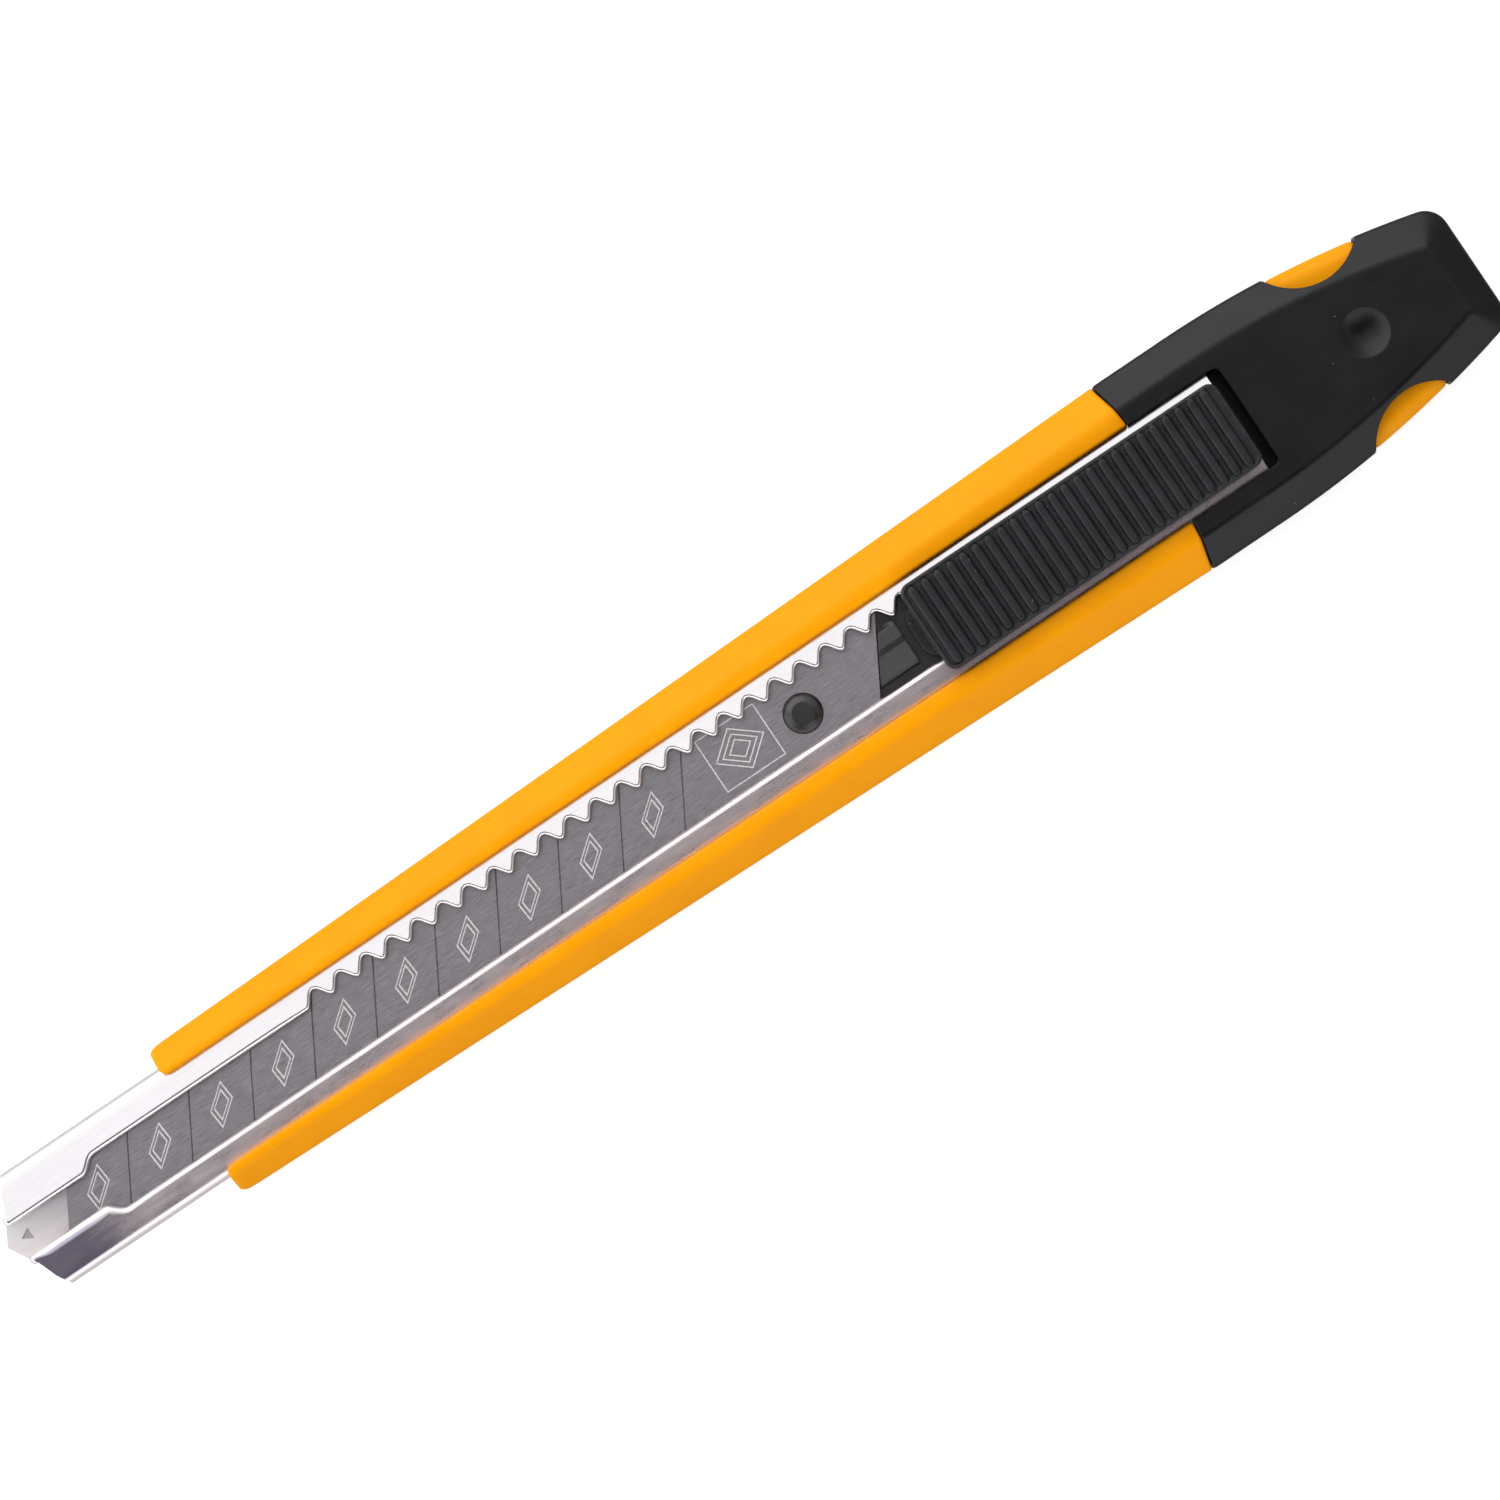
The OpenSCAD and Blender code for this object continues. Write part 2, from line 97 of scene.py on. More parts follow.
class Wires:
    """Short calls that add nodes to one tree and join them."""

    def __init__(self, tree: bpy.types.NodeTree) -> None:
        """Work on a tree.

        Args:
            tree: The material's or the group's node tree.
        """
        self.tree = tree

    def node(self, kind: str, **settings: object) -> bpy.types.Node:
        """Add a node and set its properties.

        Args:
            kind: The node's type.
            **settings: Properties of the node.

        Returns:
            The new node.
        """
        made = self.tree.nodes.new(kind)
        for name, value in settings.items():
            setattr(made, name, value)
        return made

    def feed(self, socket: bpy.types.NodeSocket, value: object) -> None:
        """Link a socket to another, or set its value.

        Args:
            socket: The input.
            value: An output socket, a number or a colour.
        """
        if isinstance(value, bpy.types.NodeSocket):
            self.tree.links.new(value, socket)
        else:
            socket.default_value = value

    def math(self, operation: str, *values: object, clamp: bool = False) -> bpy.types.NodeSocket:
        """Add a math node.

        Args:
            operation: The node's operation.
            *values: Its inputs, as sockets or numbers.
            clamp: Whether the result is held between 0 and 1.

        Returns:
            The result's socket.
        """
        made = self.node("ShaderNodeMath", operation=operation, use_clamp=clamp)
        for socket, value in zip(made.inputs, values):
            self.feed(socket, value)
        return made.outputs[0]

    def times(self, *values: object) -> bpy.types.NodeSocket:
        """Multiply two or more values.

        Args:
            *values: Sockets or numbers.

        Returns:
            The product's socket.
        """
        product = values[0]
        for value in values[1:]:
            product = self.math("MULTIPLY", product, value)
        return product

    def axes(self, vector: bpy.types.NodeSocket) -> bpy.types.bpy_prop_collection:
        """Split a vector.

        Args:
            vector: The vector's socket.

        Returns:
            The sockets X, Y and Z.
        """
        split = self.node("ShaderNodeSeparateXYZ")
        self.feed(split.inputs["Vector"], vector)
        return split.outputs

    def ramp(self, value: object, low: float, high: float,
             to_low: float = 0.0, to_high: float = 1.0) -> bpy.types.NodeSocket:
        """Map a value from one range to another, held at both ends.

        Args:
            value: The socket that is mapped.
            low: Where the range starts.
            high: Where the range ends.
            to_low: The result at low.
            to_high: The result at high.

        Returns:
            The result's socket.
        """
        made = self.node("ShaderNodeMapRange", interpolation_type="SMOOTHSTEP")
        limits = {"From Min": low, "From Max": high, "To Min": to_low, "To Max": to_high}
        for name, number in {"Value": value, **limits}.items():
            self.feed(made.inputs[name], number)
        return made.outputs["Result"]

    def places(self, stretch: Colour = (1, 1, 1)) -> bpy.types.NodeSocket:
        """The surface's own place, in millimetres.

        Args:
            stretch: A factor along each axis.

        Returns:
            The vector's socket.
        """
        coordinates = self.node("ShaderNodeTexCoord")
        mapping = self.node("ShaderNodeMapping")
        mapping.inputs["Scale"].default_value = tuple(s / MM for s in stretch)
        self.feed(mapping.inputs["Vector"], coordinates.outputs["Object"])
        return mapping.outputs["Vector"]

    def noise(self, places: object, scale: object, detail: float = 4.0,
              roughness: float = 0.6) -> bpy.types.NodeSocket:
        """Add a noise texture.

        Args:
            places: The vector's socket.
            scale: Cells per millimetre.
            detail: Octaves.
            roughness: How strong the finer octaves are.

        Returns:
            The noise's socket.
        """
        made = self.node("ShaderNodeTexNoise")
        self.feed(made.inputs["Vector"], places)
        self.feed(made.inputs["Scale"], scale)
        self.feed(made.inputs["Detail"], detail)
        self.feed(made.inputs["Roughness"], roughness)
        return made.outputs["Fac"]

    def mix(self, factor: object, first: object, second: object) -> bpy.types.NodeSocket:
        """Mix two colours.

        Args:
            factor: 0 for the first, 1 for the second.
            first: A colour or its socket.
            second: A colour or its socket.

        Returns:
            The result's socket.
        """
        made = self.node("ShaderNodeMix", data_type="RGBA")
        self.feed(made.inputs["Factor"], factor)
        for name, colour in (("A", first), ("B", second)):
            socket = next(s for s in made.inputs if s.name == name and s.type == "RGBA")
            self.feed(socket, (*colour, 1.0) if isinstance(colour, tuple) else colour)
        return next(s for s in made.outputs if s.type == "RGBA")

    def use(self, group: bpy.types.NodeTree, **values: object) -> bpy.types.Node:
        """Place a shader group.

        Args:
            group: The group's tree.
            **values: Its inputs by name, with underscores for spaces.

        Returns:
            The group node.
        """
        made = self.node("ShaderNodeGroup", node_tree=group)
        for name, value in values.items():
            self.feed(made.inputs[name.replace("_", " ").capitalize()], value)
        return made


def edge_wear_group() -> bpy.types.NodeTree:
    """Softened edges: their rounded normal, and a mask of where it leaves the face's own.

    Returns:
        The group's tree.
    """
    flat_dot, edge_dot = 0.995, 0.9
    bare, rubbed = 0.35, 0.65
    group = Group("Edge wear", {"Width": 0.15, "Breakup": 2.0},
                  {"Mask": "NodeSocketFloat", "Normal": "NodeSocketVector"})
    w = Wires(group.tree)
    bevel = w.node("ShaderNodeBevel", samples=4)
    w.feed(bevel.inputs["Radius"], w.times(group.value("Width"), MM))
    dot = w.node("ShaderNodeVectorMath", operation="DOT_PRODUCT")
    w.feed(dot.inputs[0], bevel.outputs["Normal"])
    w.feed(dot.inputs[1], w.node("ShaderNodeNewGeometry").outputs["Normal"])
    edge = w.ramp(dot.outputs["Value"], flat_dot, edge_dot)
    patches = w.noise(w.places(), group.value("Breakup"), detail=5.0, roughness=0.7)
    w.feed(group.outputs.inputs["Mask"], w.times(edge, w.ramp(patches, bare, rubbed)))
    w.feed(group.outputs.inputs["Normal"], bevel.outputs["Normal"])
    return group.tree


def dust_group() -> bpy.types.NodeTree:
    """Mask of a few fine specks of dust.

    Returns:
        The group's tree.
    """
    wobble_scale, wobble_mm = 6.0, 0.12
    group = Group("Dust specks", {"Cells": 1.2, "Size": 0.06, "Share": 0.2}, {"Mask": "NodeSocketFloat"})
    w = Wires(group.tree)
    places = w.places()
    wobble = w.node("ShaderNodeTexNoise")
    w.feed(wobble.inputs["Vector"], places)
    w.feed(wobble.inputs["Scale"], wobble_scale)
    shrink = w.node("ShaderNodeVectorMath", operation="SCALE")
    w.feed(shrink.inputs[0], wobble.outputs["Color"])
    w.feed(shrink.inputs["Scale"], wobble_mm)
    bent = w.node("ShaderNodeVectorMath", operation="ADD")
    w.feed(bent.inputs[0], places)
    w.feed(bent.inputs[1], shrink.outputs["Vector"])
    cells = w.node("ShaderNodeTexVoronoi")
    w.feed(cells.inputs["Vector"], bent.outputs["Vector"])
    w.feed(cells.inputs["Scale"], group.value("Cells"))
    size = w.times(group.value("Size"), group.value("Cells"))
    speck = w.math("LESS_THAN", cells.outputs["Distance"], size)
    split = w.node("ShaderNodeSeparateColor")
    w.feed(split.inputs["Color"], cells.outputs["Color"])
    chosen = w.math("LESS_THAN", split.outputs["Red"], group.value("Share"))
    w.feed(group.outputs.inputs["Mask"], w.times(speck, chosen, split.outputs["Green"]))
    return group.tree


def grain_group() -> bpy.types.NodeTree:
    """Height and cloudiness of a moulded surface's fine grain.

    Returns:
        The group's tree.
    """
    drawn_out = (1, 1.6, 1.6)
    group = Group("Moulded grain", {"Fine": 9.0, "Cloud": 0.25},
                  {"Height": "NodeSocketFloat", "Clouds": "NodeSocketFloat"})
    w = Wires(group.tree)
    fine = w.noise(w.places(), group.value("Fine"), detail=3.0, roughness=0.6)
    clouds = w.noise(w.places(drawn_out), group.value("Cloud"), detail=2.0, roughness=0.5)
    w.feed(group.outputs.inputs["Height"], fine)
    w.feed(group.outputs.inputs["Clouds"], clouds)
    return group.tree


def streak_group() -> bpy.types.NodeTree:
    """Fine streaks along the knife, as brushing or rolling leaves.

    Returns:
        The group's tree.
    """
    group = Group("Streaks", {"Across": 14.0, "Length": 0.05}, {"Streaks": "NodeSocketFloat"})
    w = Wires(group.tree)
    axes = w.axes(w.places())
    join = w.node("ShaderNodeCombineXYZ")
    w.feed(join.inputs["X"], w.times(axes["X"], group.value("Length")))
    w.feed(join.inputs["Y"], axes["Y"])
    w.feed(join.inputs["Z"], axes["Z"])
    streaks = w.noise(join.outputs["Vector"], group.value("Across"), detail=3.0, roughness=0.7)
    w.feed(group.outputs.inputs["Streaks"], streaks)
    return group.tree


@dataclass(frozen=True)
class Etching:
    """The outlines etched on the blade: nested lozenges on each segment, and a framed set by the stud."""

    spine_x: float = 63.3
    segment_l: float = 6.04
    line_half_w: float = 0.05
    segments: float = 10.0
    blade_half_w: float = 4.5
    slant_deg: float = 30.0
    small_half: Point = (1.05, 1.6)
    small_rings: tuple[float, ...] = (1.0, 0.66)
    frame_from: Point = (0.42, 0.52)
    frame_half: Point = (2.82, 2.43)
    big_half: Point = (2.3, 1.9)
    big_rings: tuple[float, ...] = (1.0, 0.72, 0.44)
    faint: float = 0.45
    worn_scale: float = 4.0
    worn_range: Point = (0.3, 0.5)

    def outline(self, w: Wires, value: object, place: float, per_mm: float,
                line: bpy.types.NodeSocket) -> bpy.types.NodeSocket:
        """Mask of the line where a value passes a place.

        Args:
            w: The group's wires.
            value: The value's socket.
            place: The value on the line.
            per_mm: How much the value changes over a millimetre.
            line: Half of the line's width.

        Returns:
            The mask's socket.
        """
        away = w.math("ABSOLUTE", w.math("SUBTRACT", value, place))
        return w.math("LESS_THAN", w.math("DIVIDE", away, per_mm), line)

    def lozenges(self, w: Wires, place: tuple[object, object], half: Point, rings: Sequence[float],
                 line: bpy.types.NodeSocket) -> bpy.types.NodeSocket:
        """Mask of nested lozenges.

        Args:
            w: The group's wires.
            place: Sockets of the place along and across, from their middle.
            half: Half of the outer one's length and width.
            rings: The size of each, as a share of the outer one.
            line: Half of the lines' width.

        Returns:
            The mask's socket.
        """
        shares = [w.math("DIVIDE", w.math("ABSOLUTE", axis), size) for axis, size in zip(place, half)]
        reach = w.math("ADD", *shares)
        per_mm = math.hypot(1 / half[0], 1 / half[1])
        total = self.outline(w, reach, rings[0], per_mm, line)
        for ring in rings[1:]:
            total = w.math("MAXIMUM", total, self.outline(w, reach, ring, per_mm, line))
        return total

    def build(self) -> bpy.types.NodeTree:
        """Build the group that masks the outlines.

        Returns:
            The group's tree.
        """
        group = Group("Etched outlines", {"Spine": self.spine_x, "Segment": self.segment_l,
                                          "Line": self.line_half_w}, {"Mask": "NodeSocketFloat"})
        w = Wires(group.tree)
        line, segment = group.value("Line"), group.value("Segment")
        axes = w.axes(w.places())
        x, y = axes["X"], axes["Y"]
        lean = w.times(w.math("ADD", y, self.blade_half_w), math.tan(math.radians(self.slant_deg)))
        from_tip = w.math("SUBTRACT", w.math("ADD", group.value("Spine"), lean), x)
        number = w.math("DIVIDE", from_tip, segment)
        along = w.times(w.math("SUBTRACT", w.math("FRACT", number), 0.5), segment)
        on_segment = w.times(w.math("GREATER_THAN", number, 0.0),
                             w.math("LESS_THAN", number, self.segments))
        small = w.times(on_segment, self.lozenges(w, (along, y), self.small_half, self.small_rings, line))
        framed = tuple(w.math("ADD", axis, away) for axis, away in zip((x, y), self.frame_from))
        reach = w.math("MAXIMUM", *(w.math("SUBTRACT", w.math("ABSOLUTE", axis), half)
                                    for axis, half in zip(framed, self.frame_half)))
        inside = w.math("LESS_THAN", reach, 0.0)
        big = w.times(inside, self.lozenges(w, framed, self.big_half, self.big_rings, line))
        mask = w.math("MAXIMUM", w.math("MAXIMUM", small, big), self.outline(w, reach, 0.0, 1.0, line))
        patches = w.noise(w.places(), self.worn_scale, detail=3.0, roughness=0.7)
        worn = w.ramp(patches, *self.worn_range, to_low=self.faint)
        w.feed(group.outputs.inputs["Mask"], w.times(mask, worn))
        return group.tree


@dataclass(frozen=True)
class Effects:
    """The shader groups that the finishes share."""

    wear: bpy.types.NodeTree
    dust: bpy.types.NodeTree
    grain: bpy.types.NodeTree
    streaks: bpy.types.NodeTree
    etching: bpy.types.NodeTree

    @staticmethod
    def build() -> "Effects":
        """Build every shared group once."""
        return Effects(edge_wear_group(), dust_group(), grain_group(), streak_group(), Etching().build())


# ------------------------------------------------------------------ finishes


def new_material(name: str) -> tuple[bpy.types.Material, Wires, bpy.types.Node]:
    """Start a material with a Principled shader.

    Args:
        name: The material's name.

    Returns:
        The material, its wires and its shader.
    """
    material = bpy.data.materials.new(name)
    material.use_nodes = True
    wires = Wires(material.node_tree)
    shader = next(n for n in material.node_tree.nodes if n.type == "BSDF_PRINCIPLED")
    return material, wires, shader


def add_bump(w: Wires, shader: bpy.types.Node, height: object, depth_mm: float, strength: float,
             normal: bpy.types.NodeSocket | None = None) -> None:
    """Give a shader a bump.

    Args:
        w: The material's wires.
        shader: The Principled shader.
        height: The height's socket.
        depth_mm: The height of a value of 1.
        strength: From 0 to 1.
        normal: The normal that the bump is added to.
    """
    bump = w.node("ShaderNodeBump")
    if normal:
        w.feed(bump.inputs["Normal"], normal)
    bump.inputs["Distance"].default_value = depth_mm * MM
    bump.inputs["Strength"].default_value = strength
    w.feed(bump.inputs["Height"], height)
    w.feed(shader.inputs["Normal"], bump.outputs["Normal"])


@dataclass(frozen=True)
class MouldedPlastic:
    """A moulded plastic with fine grain, rubbed edges and a little dust."""

    name: str
    colour: Colour
    cloud_colour: Colour
    wear_colour: Colour
    roughness: float
    wear: float
    dust_share: float
    specular: float
    grain_mm: float = 0.006
    grain_strength: float = 0.3
    edge_mm: float = 0.18
    edge_breakup: float = 1.6
    dust_cells: float = 0.9
    dust_mm: float = 0.05
    dust_cover: float = 0.6
    dust_roughness: float = 0.3
    dust_colour: Colour = (0.45, 0.45, 0.46)
    rough_patches: Point = (0.25, 0.75)
    smoother: float = 0.04
    rougher: float = 0.05

    def build(self, effects: Effects) -> bpy.types.Material:
        """Build the material.

        Args:
            effects: The shared shader groups.

        Returns:
            The material.
        """
        material, w, shader = new_material(self.name)
        grain = w.use(effects.grain)
        wear = w.use(effects.wear, width=self.edge_mm, breakup=self.edge_breakup)
        dust = w.use(effects.dust, cells=self.dust_cells, size=self.dust_mm,
                     share=self.dust_share).outputs["Mask"]
        clouds = grain.outputs["Clouds"]
        base = w.mix(w.ramp(clouds, *SOFT_PATCHES), self.colour, self.cloud_colour)
        rubbed = w.mix(w.times(wear.outputs["Mask"], self.wear), base, self.wear_colour)
        dusty = w.mix(w.times(dust, self.dust_cover), rubbed, self.dust_colour)
        w.feed(shader.inputs["Base Color"], dusty)
        rough = w.ramp(clouds, *self.rough_patches, self.roughness - self.smoother,
                       self.roughness + self.rougher)
        w.feed(shader.inputs["Roughness"], w.math("ADD", rough, w.times(dust, self.dust_roughness)))
        shader.inputs["Specular IOR Level"].default_value = self.specular
        add_bump(w, shader, grain.outputs["Height"], self.grain_mm, self.grain_strength,
                 normal=wear.outputs["Normal"])
        return material


@dataclass(frozen=True)
class PolishedSteel:
    """Bright stainless sheet with faint rolling streaks, a painted pinkish reflection mottled like staining
    that gathers on one side, and a painted bluish reflection on that side's lip at the tip.
    """

    name: str
    # Colour of the painted pinkish reflection, mottled like staining, on one side.
    colour: Colour
    staining_and_reflection_colour: Colour
    # Colour of the painted bluish reflection on the upward faces of the lip at the tip.
    tip_reflection_colour: Colour
    roughness: float
    waves_mm: float
    staining_and_reflection: float
    streaks_across: float = 7.0
    streak_length: float = 0.08
    streak_roughness: float = 0.06
    streak_height: float = 0.05
    reflection_side: Point = (-1.6, 2.2)
    least_staining_and_reflection: float = 0.03
    blotch_share: float = 0.75
    blotch_stretch: Colour = (0.3, 1, 1)
    blotch_scale: float = 0.8
    least_blotch: float = 0.5
    speck_stretch: Colour = (0.5, 1, 1)
    speck_scale: float = 2.4
    speck_range: Point = (0.4, 0.75)
    least_speck: float = 0.3
    streak_range: Point = (0.3, 0.75)
    wave_stretch: Colour = (0.25, 1, 1)
    wave_scale: float = 0.6
    staining_and_reflection_roughness: float = 0.28
    tip_x: Point = (60.0, 66.5)
    lip_z: Point = (3.5, 5.0)
    upward: Point = (0.8, 0.98)
    tip_reflection_clears: float = 0.7
    # The stamped mark's recess is darkened with painted shade.
    mark_x: Point = (69.0, 69.1)
    mark_low_z: Point = (2.45, 2.5)
    mark_high_z: Point = (2.69, 2.64)
    mark_shade_cover: float = 0.6
    mark_shade_colour: Colour = (0.3, 0.27, 0.27)
    floor_z: Point = (3.0, 4.5)
    floor_roughness: float = 0.25
    bump_strength: float = 0.6

    def reflection_and_staining_masks(self, w: Wires, axes: bpy.types.bpy_prop_collection) -> tuple[object, object, object]:
        """Masks of the painted pinkish reflection with its mottled staining, of their fine specks and of the
        painted bluish reflection on the lip at the tip.

        Args:
            w: The material's wires.
            axes: Sockets of the place along, across and up.

        Returns:
            The three masks' sockets.
        """
        # Painted reflection: the pinkish mottle is kept mostly to one side of the knife, with a little on the
        # other. It stands for the surround that the lip mirrors, and for staining.
        side = w.ramp(axes["Y"], *self.reflection_side, to_low=self.least_staining_and_reflection)
        coarse = w.noise(w.places(self.blotch_stretch), self.blotch_scale)
        blotches = w.ramp(coarse, *SOFT_PATCHES, to_low=self.least_blotch)
        fine = w.noise(w.places(self.speck_stretch), self.speck_scale, detail=3.0)
        specks = w.ramp(fine, *self.speck_range, to_low=self.least_speck)
        mottled = w.math("ADD", w.times(blotches, self.blotch_share),
                         w.times(specks, 1 - self.blotch_share))
        # Painted reflection: a bluish tone on the upward faces of that side's lip near the tip, where less of
        # the pinkish mottle is kept.
        upward = w.axes(w.node("ShaderNodeTexCoord").outputs["Normal"])["Z"]
        tip = w.times(side, w.ramp(axes["X"], *self.tip_x), w.ramp(axes["Z"], *self.lip_z),
                      w.ramp(upward, *self.upward))
        kept = w.math("SUBTRACT", 1.0, w.times(tip, self.tip_reflection_clears))
        return w.times(side, mottled, self.staining_and_reflection, kept), specks, tip

    def build(self, effects: Effects) -> bpy.types.Material:
        """Build the material.

        Args:
            effects: The shared shader groups.

        Returns:
            The material.
        """
        material, w, shader = new_material(self.name)
        streaks = w.use(effects.streaks, across=self.streaks_across,
                        length=self.streak_length).outputs["Streaks"]
        axes = w.axes(w.places())
        staining_and_reflection_mask, specks, tip = self.reflection_and_staining_masks(w, axes)
        # The base colour takes both painted reflections.
        with_painted_reflections = w.mix(staining_and_reflection_mask, w.mix(tip, self.colour, self.tip_reflection_colour), self.staining_and_reflection_colour)
        # Painted shade: the stamped mark's recess is darkened.
        recess_shade = w.times(w.ramp(axes["X"], *self.mark_x), w.ramp(axes["Z"], *self.mark_low_z),
                         w.ramp(axes["Z"], *self.mark_high_z), self.mark_shade_cover)
        w.feed(shader.inputs["Base Color"], w.mix(recess_shade, with_painted_reflections, self.mark_shade_colour))
        shader.inputs["Metallic"].default_value = 1.0
        streaked = w.ramp(streaks, *self.streak_range, self.roughness, self.roughness + self.streak_roughness)
        rough = w.math("ADD", streaked, w.times(staining_and_reflection_mask, self.staining_and_reflection_roughness))
        floor = w.ramp(axes["Z"], *self.floor_z, to_low=self.floor_roughness, to_high=0.0)
        w.feed(shader.inputs["Roughness"], w.math("ADD", rough, floor))
        waves = w.noise(w.places(self.wave_stretch), self.wave_scale, detail=2.0, roughness=0.4)
        fine = w.math("ADD", w.times(streaks, self.streak_height),
                      w.times(specks, staining_and_reflection_mask, self.streak_height))
        add_bump(w, shader, w.math("ADD", waves, fine), self.waves_mm, self.bump_strength)
        return material


@dataclass(frozen=True)
class BladeSteel:
    """Blade steel, brushed along its length, with etched outlines on each segment."""

    name: str
    colour: Colour
    light_colour: Colour
    etch_colour: Colour
    roughness: float
    brushed: Point = (12.0, 0.06)
    scratched: Point = (20.0, 0.04)
    scratch_range: Point = (0.58, 0.72)
    scratch_cover: float = 0.3
    etch_dulls: float = 0.5
    etch_depth: float = 0.8
    streak_roughness: float = 0.1
    bump_mm: float = 0.004
    bump_strength: float = 0.6

    def build(self, effects: Effects) -> bpy.types.Material:
        """Build the material.

        Args:
            effects: The shared shader groups.

        Returns:
            The material.
        """
        material, w, shader = new_material(self.name)
        streaks, fine = (w.use(effects.streaks, across=across, length=length).outputs["Streaks"]
                         for across, length in (self.brushed, self.scratched))
        scratches = w.times(w.ramp(fine, *self.scratch_range), self.scratch_cover)
        etched = w.use(effects.etching).outputs["Mask"]
        brushed = w.mix(w.ramp(streaks, *SOFT_PATCHES), self.colour, self.light_colour)
        scratched = w.mix(scratches, brushed, self.etch_colour)
        w.feed(shader.inputs["Base Color"], w.mix(etched, scratched, self.etch_colour))
        w.feed(shader.inputs["Metallic"], w.math("SUBTRACT", 1.0, w.times(etched, self.etch_dulls)))
        rough = w.ramp(streaks, *SOFT_PATCHES, self.roughness, self.roughness + self.streak_roughness)
        w.feed(shader.inputs["Roughness"], rough)
        height = w.math("SUBTRACT", streaks, w.times(etched, self.etch_depth))
        add_bump(w, shader, height, self.bump_mm, self.bump_strength)
        return material


@dataclass(frozen=True)
class Finishes:
    """Every material of the knife, by the record's slot name."""

    orange_plastic: bpy.types.Material
    bright_steel: bpy.types.Material
    blade_steel: bpy.types.Material
    carrier_plastic: bpy.types.Material
    spring_steel: bpy.types.Material
    slide_plastic: bpy.types.Material
    cover_plastic: bpy.types.Material

    @staticmethod
    def build() -> "Finishes":
        """Build the shared groups and every finish.

        Returns:
            The finishes.
        """
        plans = (
            MouldedPlastic("orange_plastic", colour=(0.87, 0.32, 0.0), cloud_colour=(0.9, 0.34, 0.0),
                           wear_colour=(0.95, 0.42, 0.015), roughness=0.34, wear=0.35, dust_share=0.05,
                           specular=0.1),
            PolishedSteel("bright_steel", colour=(0.92, 0.91, 0.925), staining_and_reflection_colour=(0.7, 0.59, 0.59),
                          tip_reflection_colour=(0.5, 0.5, 0.62), roughness=0.14, waves_mm=0.004, staining_and_reflection=0.75),
            BladeSteel("blade_steel", colour=(0.245, 0.234, 0.25), light_colour=(0.375, 0.36, 0.38),
                       etch_colour=(0.75, 0.75, 0.75), roughness=0.34),
            MouldedPlastic("carrier_plastic", colour=(0.012, 0.012, 0.013),
                           cloud_colour=(0.017, 0.017, 0.019), wear_colour=(0.08, 0.08, 0.085),
                           roughness=0.2, wear=0.5, dust_share=0.05, specular=0.6),
            PolishedSteel("spring_steel", colour=(0.7, 0.7, 0.72), staining_and_reflection_colour=(0.5, 0.5, 0.52),
                          tip_reflection_colour=(0.7, 0.7, 0.72), roughness=0.25, waves_mm=0.004, staining_and_reflection=0.5),
            MouldedPlastic("slide_plastic", colour=(0.0075, 0.008, 0.0095),
                           cloud_colour=(0.012, 0.0125, 0.015), wear_colour=(0.07, 0.07, 0.075),
                           roughness=0.42, wear=0.6, dust_share=0.5, specular=0.35),
            MouldedPlastic("cover_plastic", colour=(0.0025, 0.0024, 0.0032),
                           cloud_colour=(0.004, 0.0038, 0.005), wear_colour=(0.05, 0.048, 0.055),
                           roughness=0.3, wear=0.4, dust_share=0.12, specular=0.3),
        )
        effects = Effects.build()
        return Finishes(**{plan.name: plan.build(effects) for plan in plans})


# ------------------------------------------------------------------ mesh helpers


def finish_mesh(mesh: bpy.types.Mesh, sharp_deg: float) -> None:
    """Shade a mesh smooth, with sharp edges where its faces meet at more than an angle.

    Args:
        mesh: The mesh.
        sharp_deg: The angle.
    """
    mesh.shade_smooth()
    mesh.set_sharp_from_angle(angle=math.radians(sharp_deg))


def link(name: str, mesh: bpy.types.Mesh) -> bpy.types.Object:
    """Make an object of a mesh and put it in the scene.

    Args:
        name: The object's name.
        mesh: Its mesh.

    Returns:
        The object.
    """
    piece = bpy.data.objects.new(name, mesh)
    bpy.context.scene.collection.objects.link(piece)
    return piece


def mesh_from(name: str, points: Sequence[Vector], faces: Sequence[Sequence[int]]) -> bpy.types.Mesh:
    """Make a mesh from points in millimetres, its faces turned outwards.

    Args:
        name: The mesh's name.
        points: The points.
        faces: The faces, as indices of points.

    Returns:
        The mesh, in metres.
    """
    mesh = bpy.data.meshes.new(name)
    mesh.from_pydata([Vector(p) * MM for p in points], [], faces)
    bm = bmesh.new()
    bm.from_mesh(mesh)
    bmesh.ops.remove_doubles(bm, verts=bm.verts, dist=1e-7)
    bmesh.ops.recalc_face_normals(bm, faces=bm.faces)
    bm.to_mesh(mesh)
    bm.free()
    return mesh

def band(low: int, high: int, count: int) -> list[tuple[int, ...]]:
    """Faces between two closed rings of points.

    Args:
        low: Index of the first ring's first point.
        high: Index of the second ring's first point.
        count: How many points each ring has.

    Returns:
        The faces.
    """
    return [(low + i, low + (i + 1) % count, high + (i + 1) % count, high + i) for i in range(count)]
def prism(outline: Sequence[Point], low: float, high: float, name: str = "tool") -> bpy.types.Object:
    """Make an upright prism.

    Args:
        outline: Its plan, in millimetres.
        low: Height of its underside.
        high: Height of its top.
        name: Its name.

    Returns:
        The prism's object.
    """
    count = len(outline)
    points = [(x, y, z) for z in (low, high) for x, y in outline]
    faces = [*band(0, count, count), tuple(range(count)), tuple(range(count, 2 * count))]
    return link(name, mesh_from(name, points, faces))


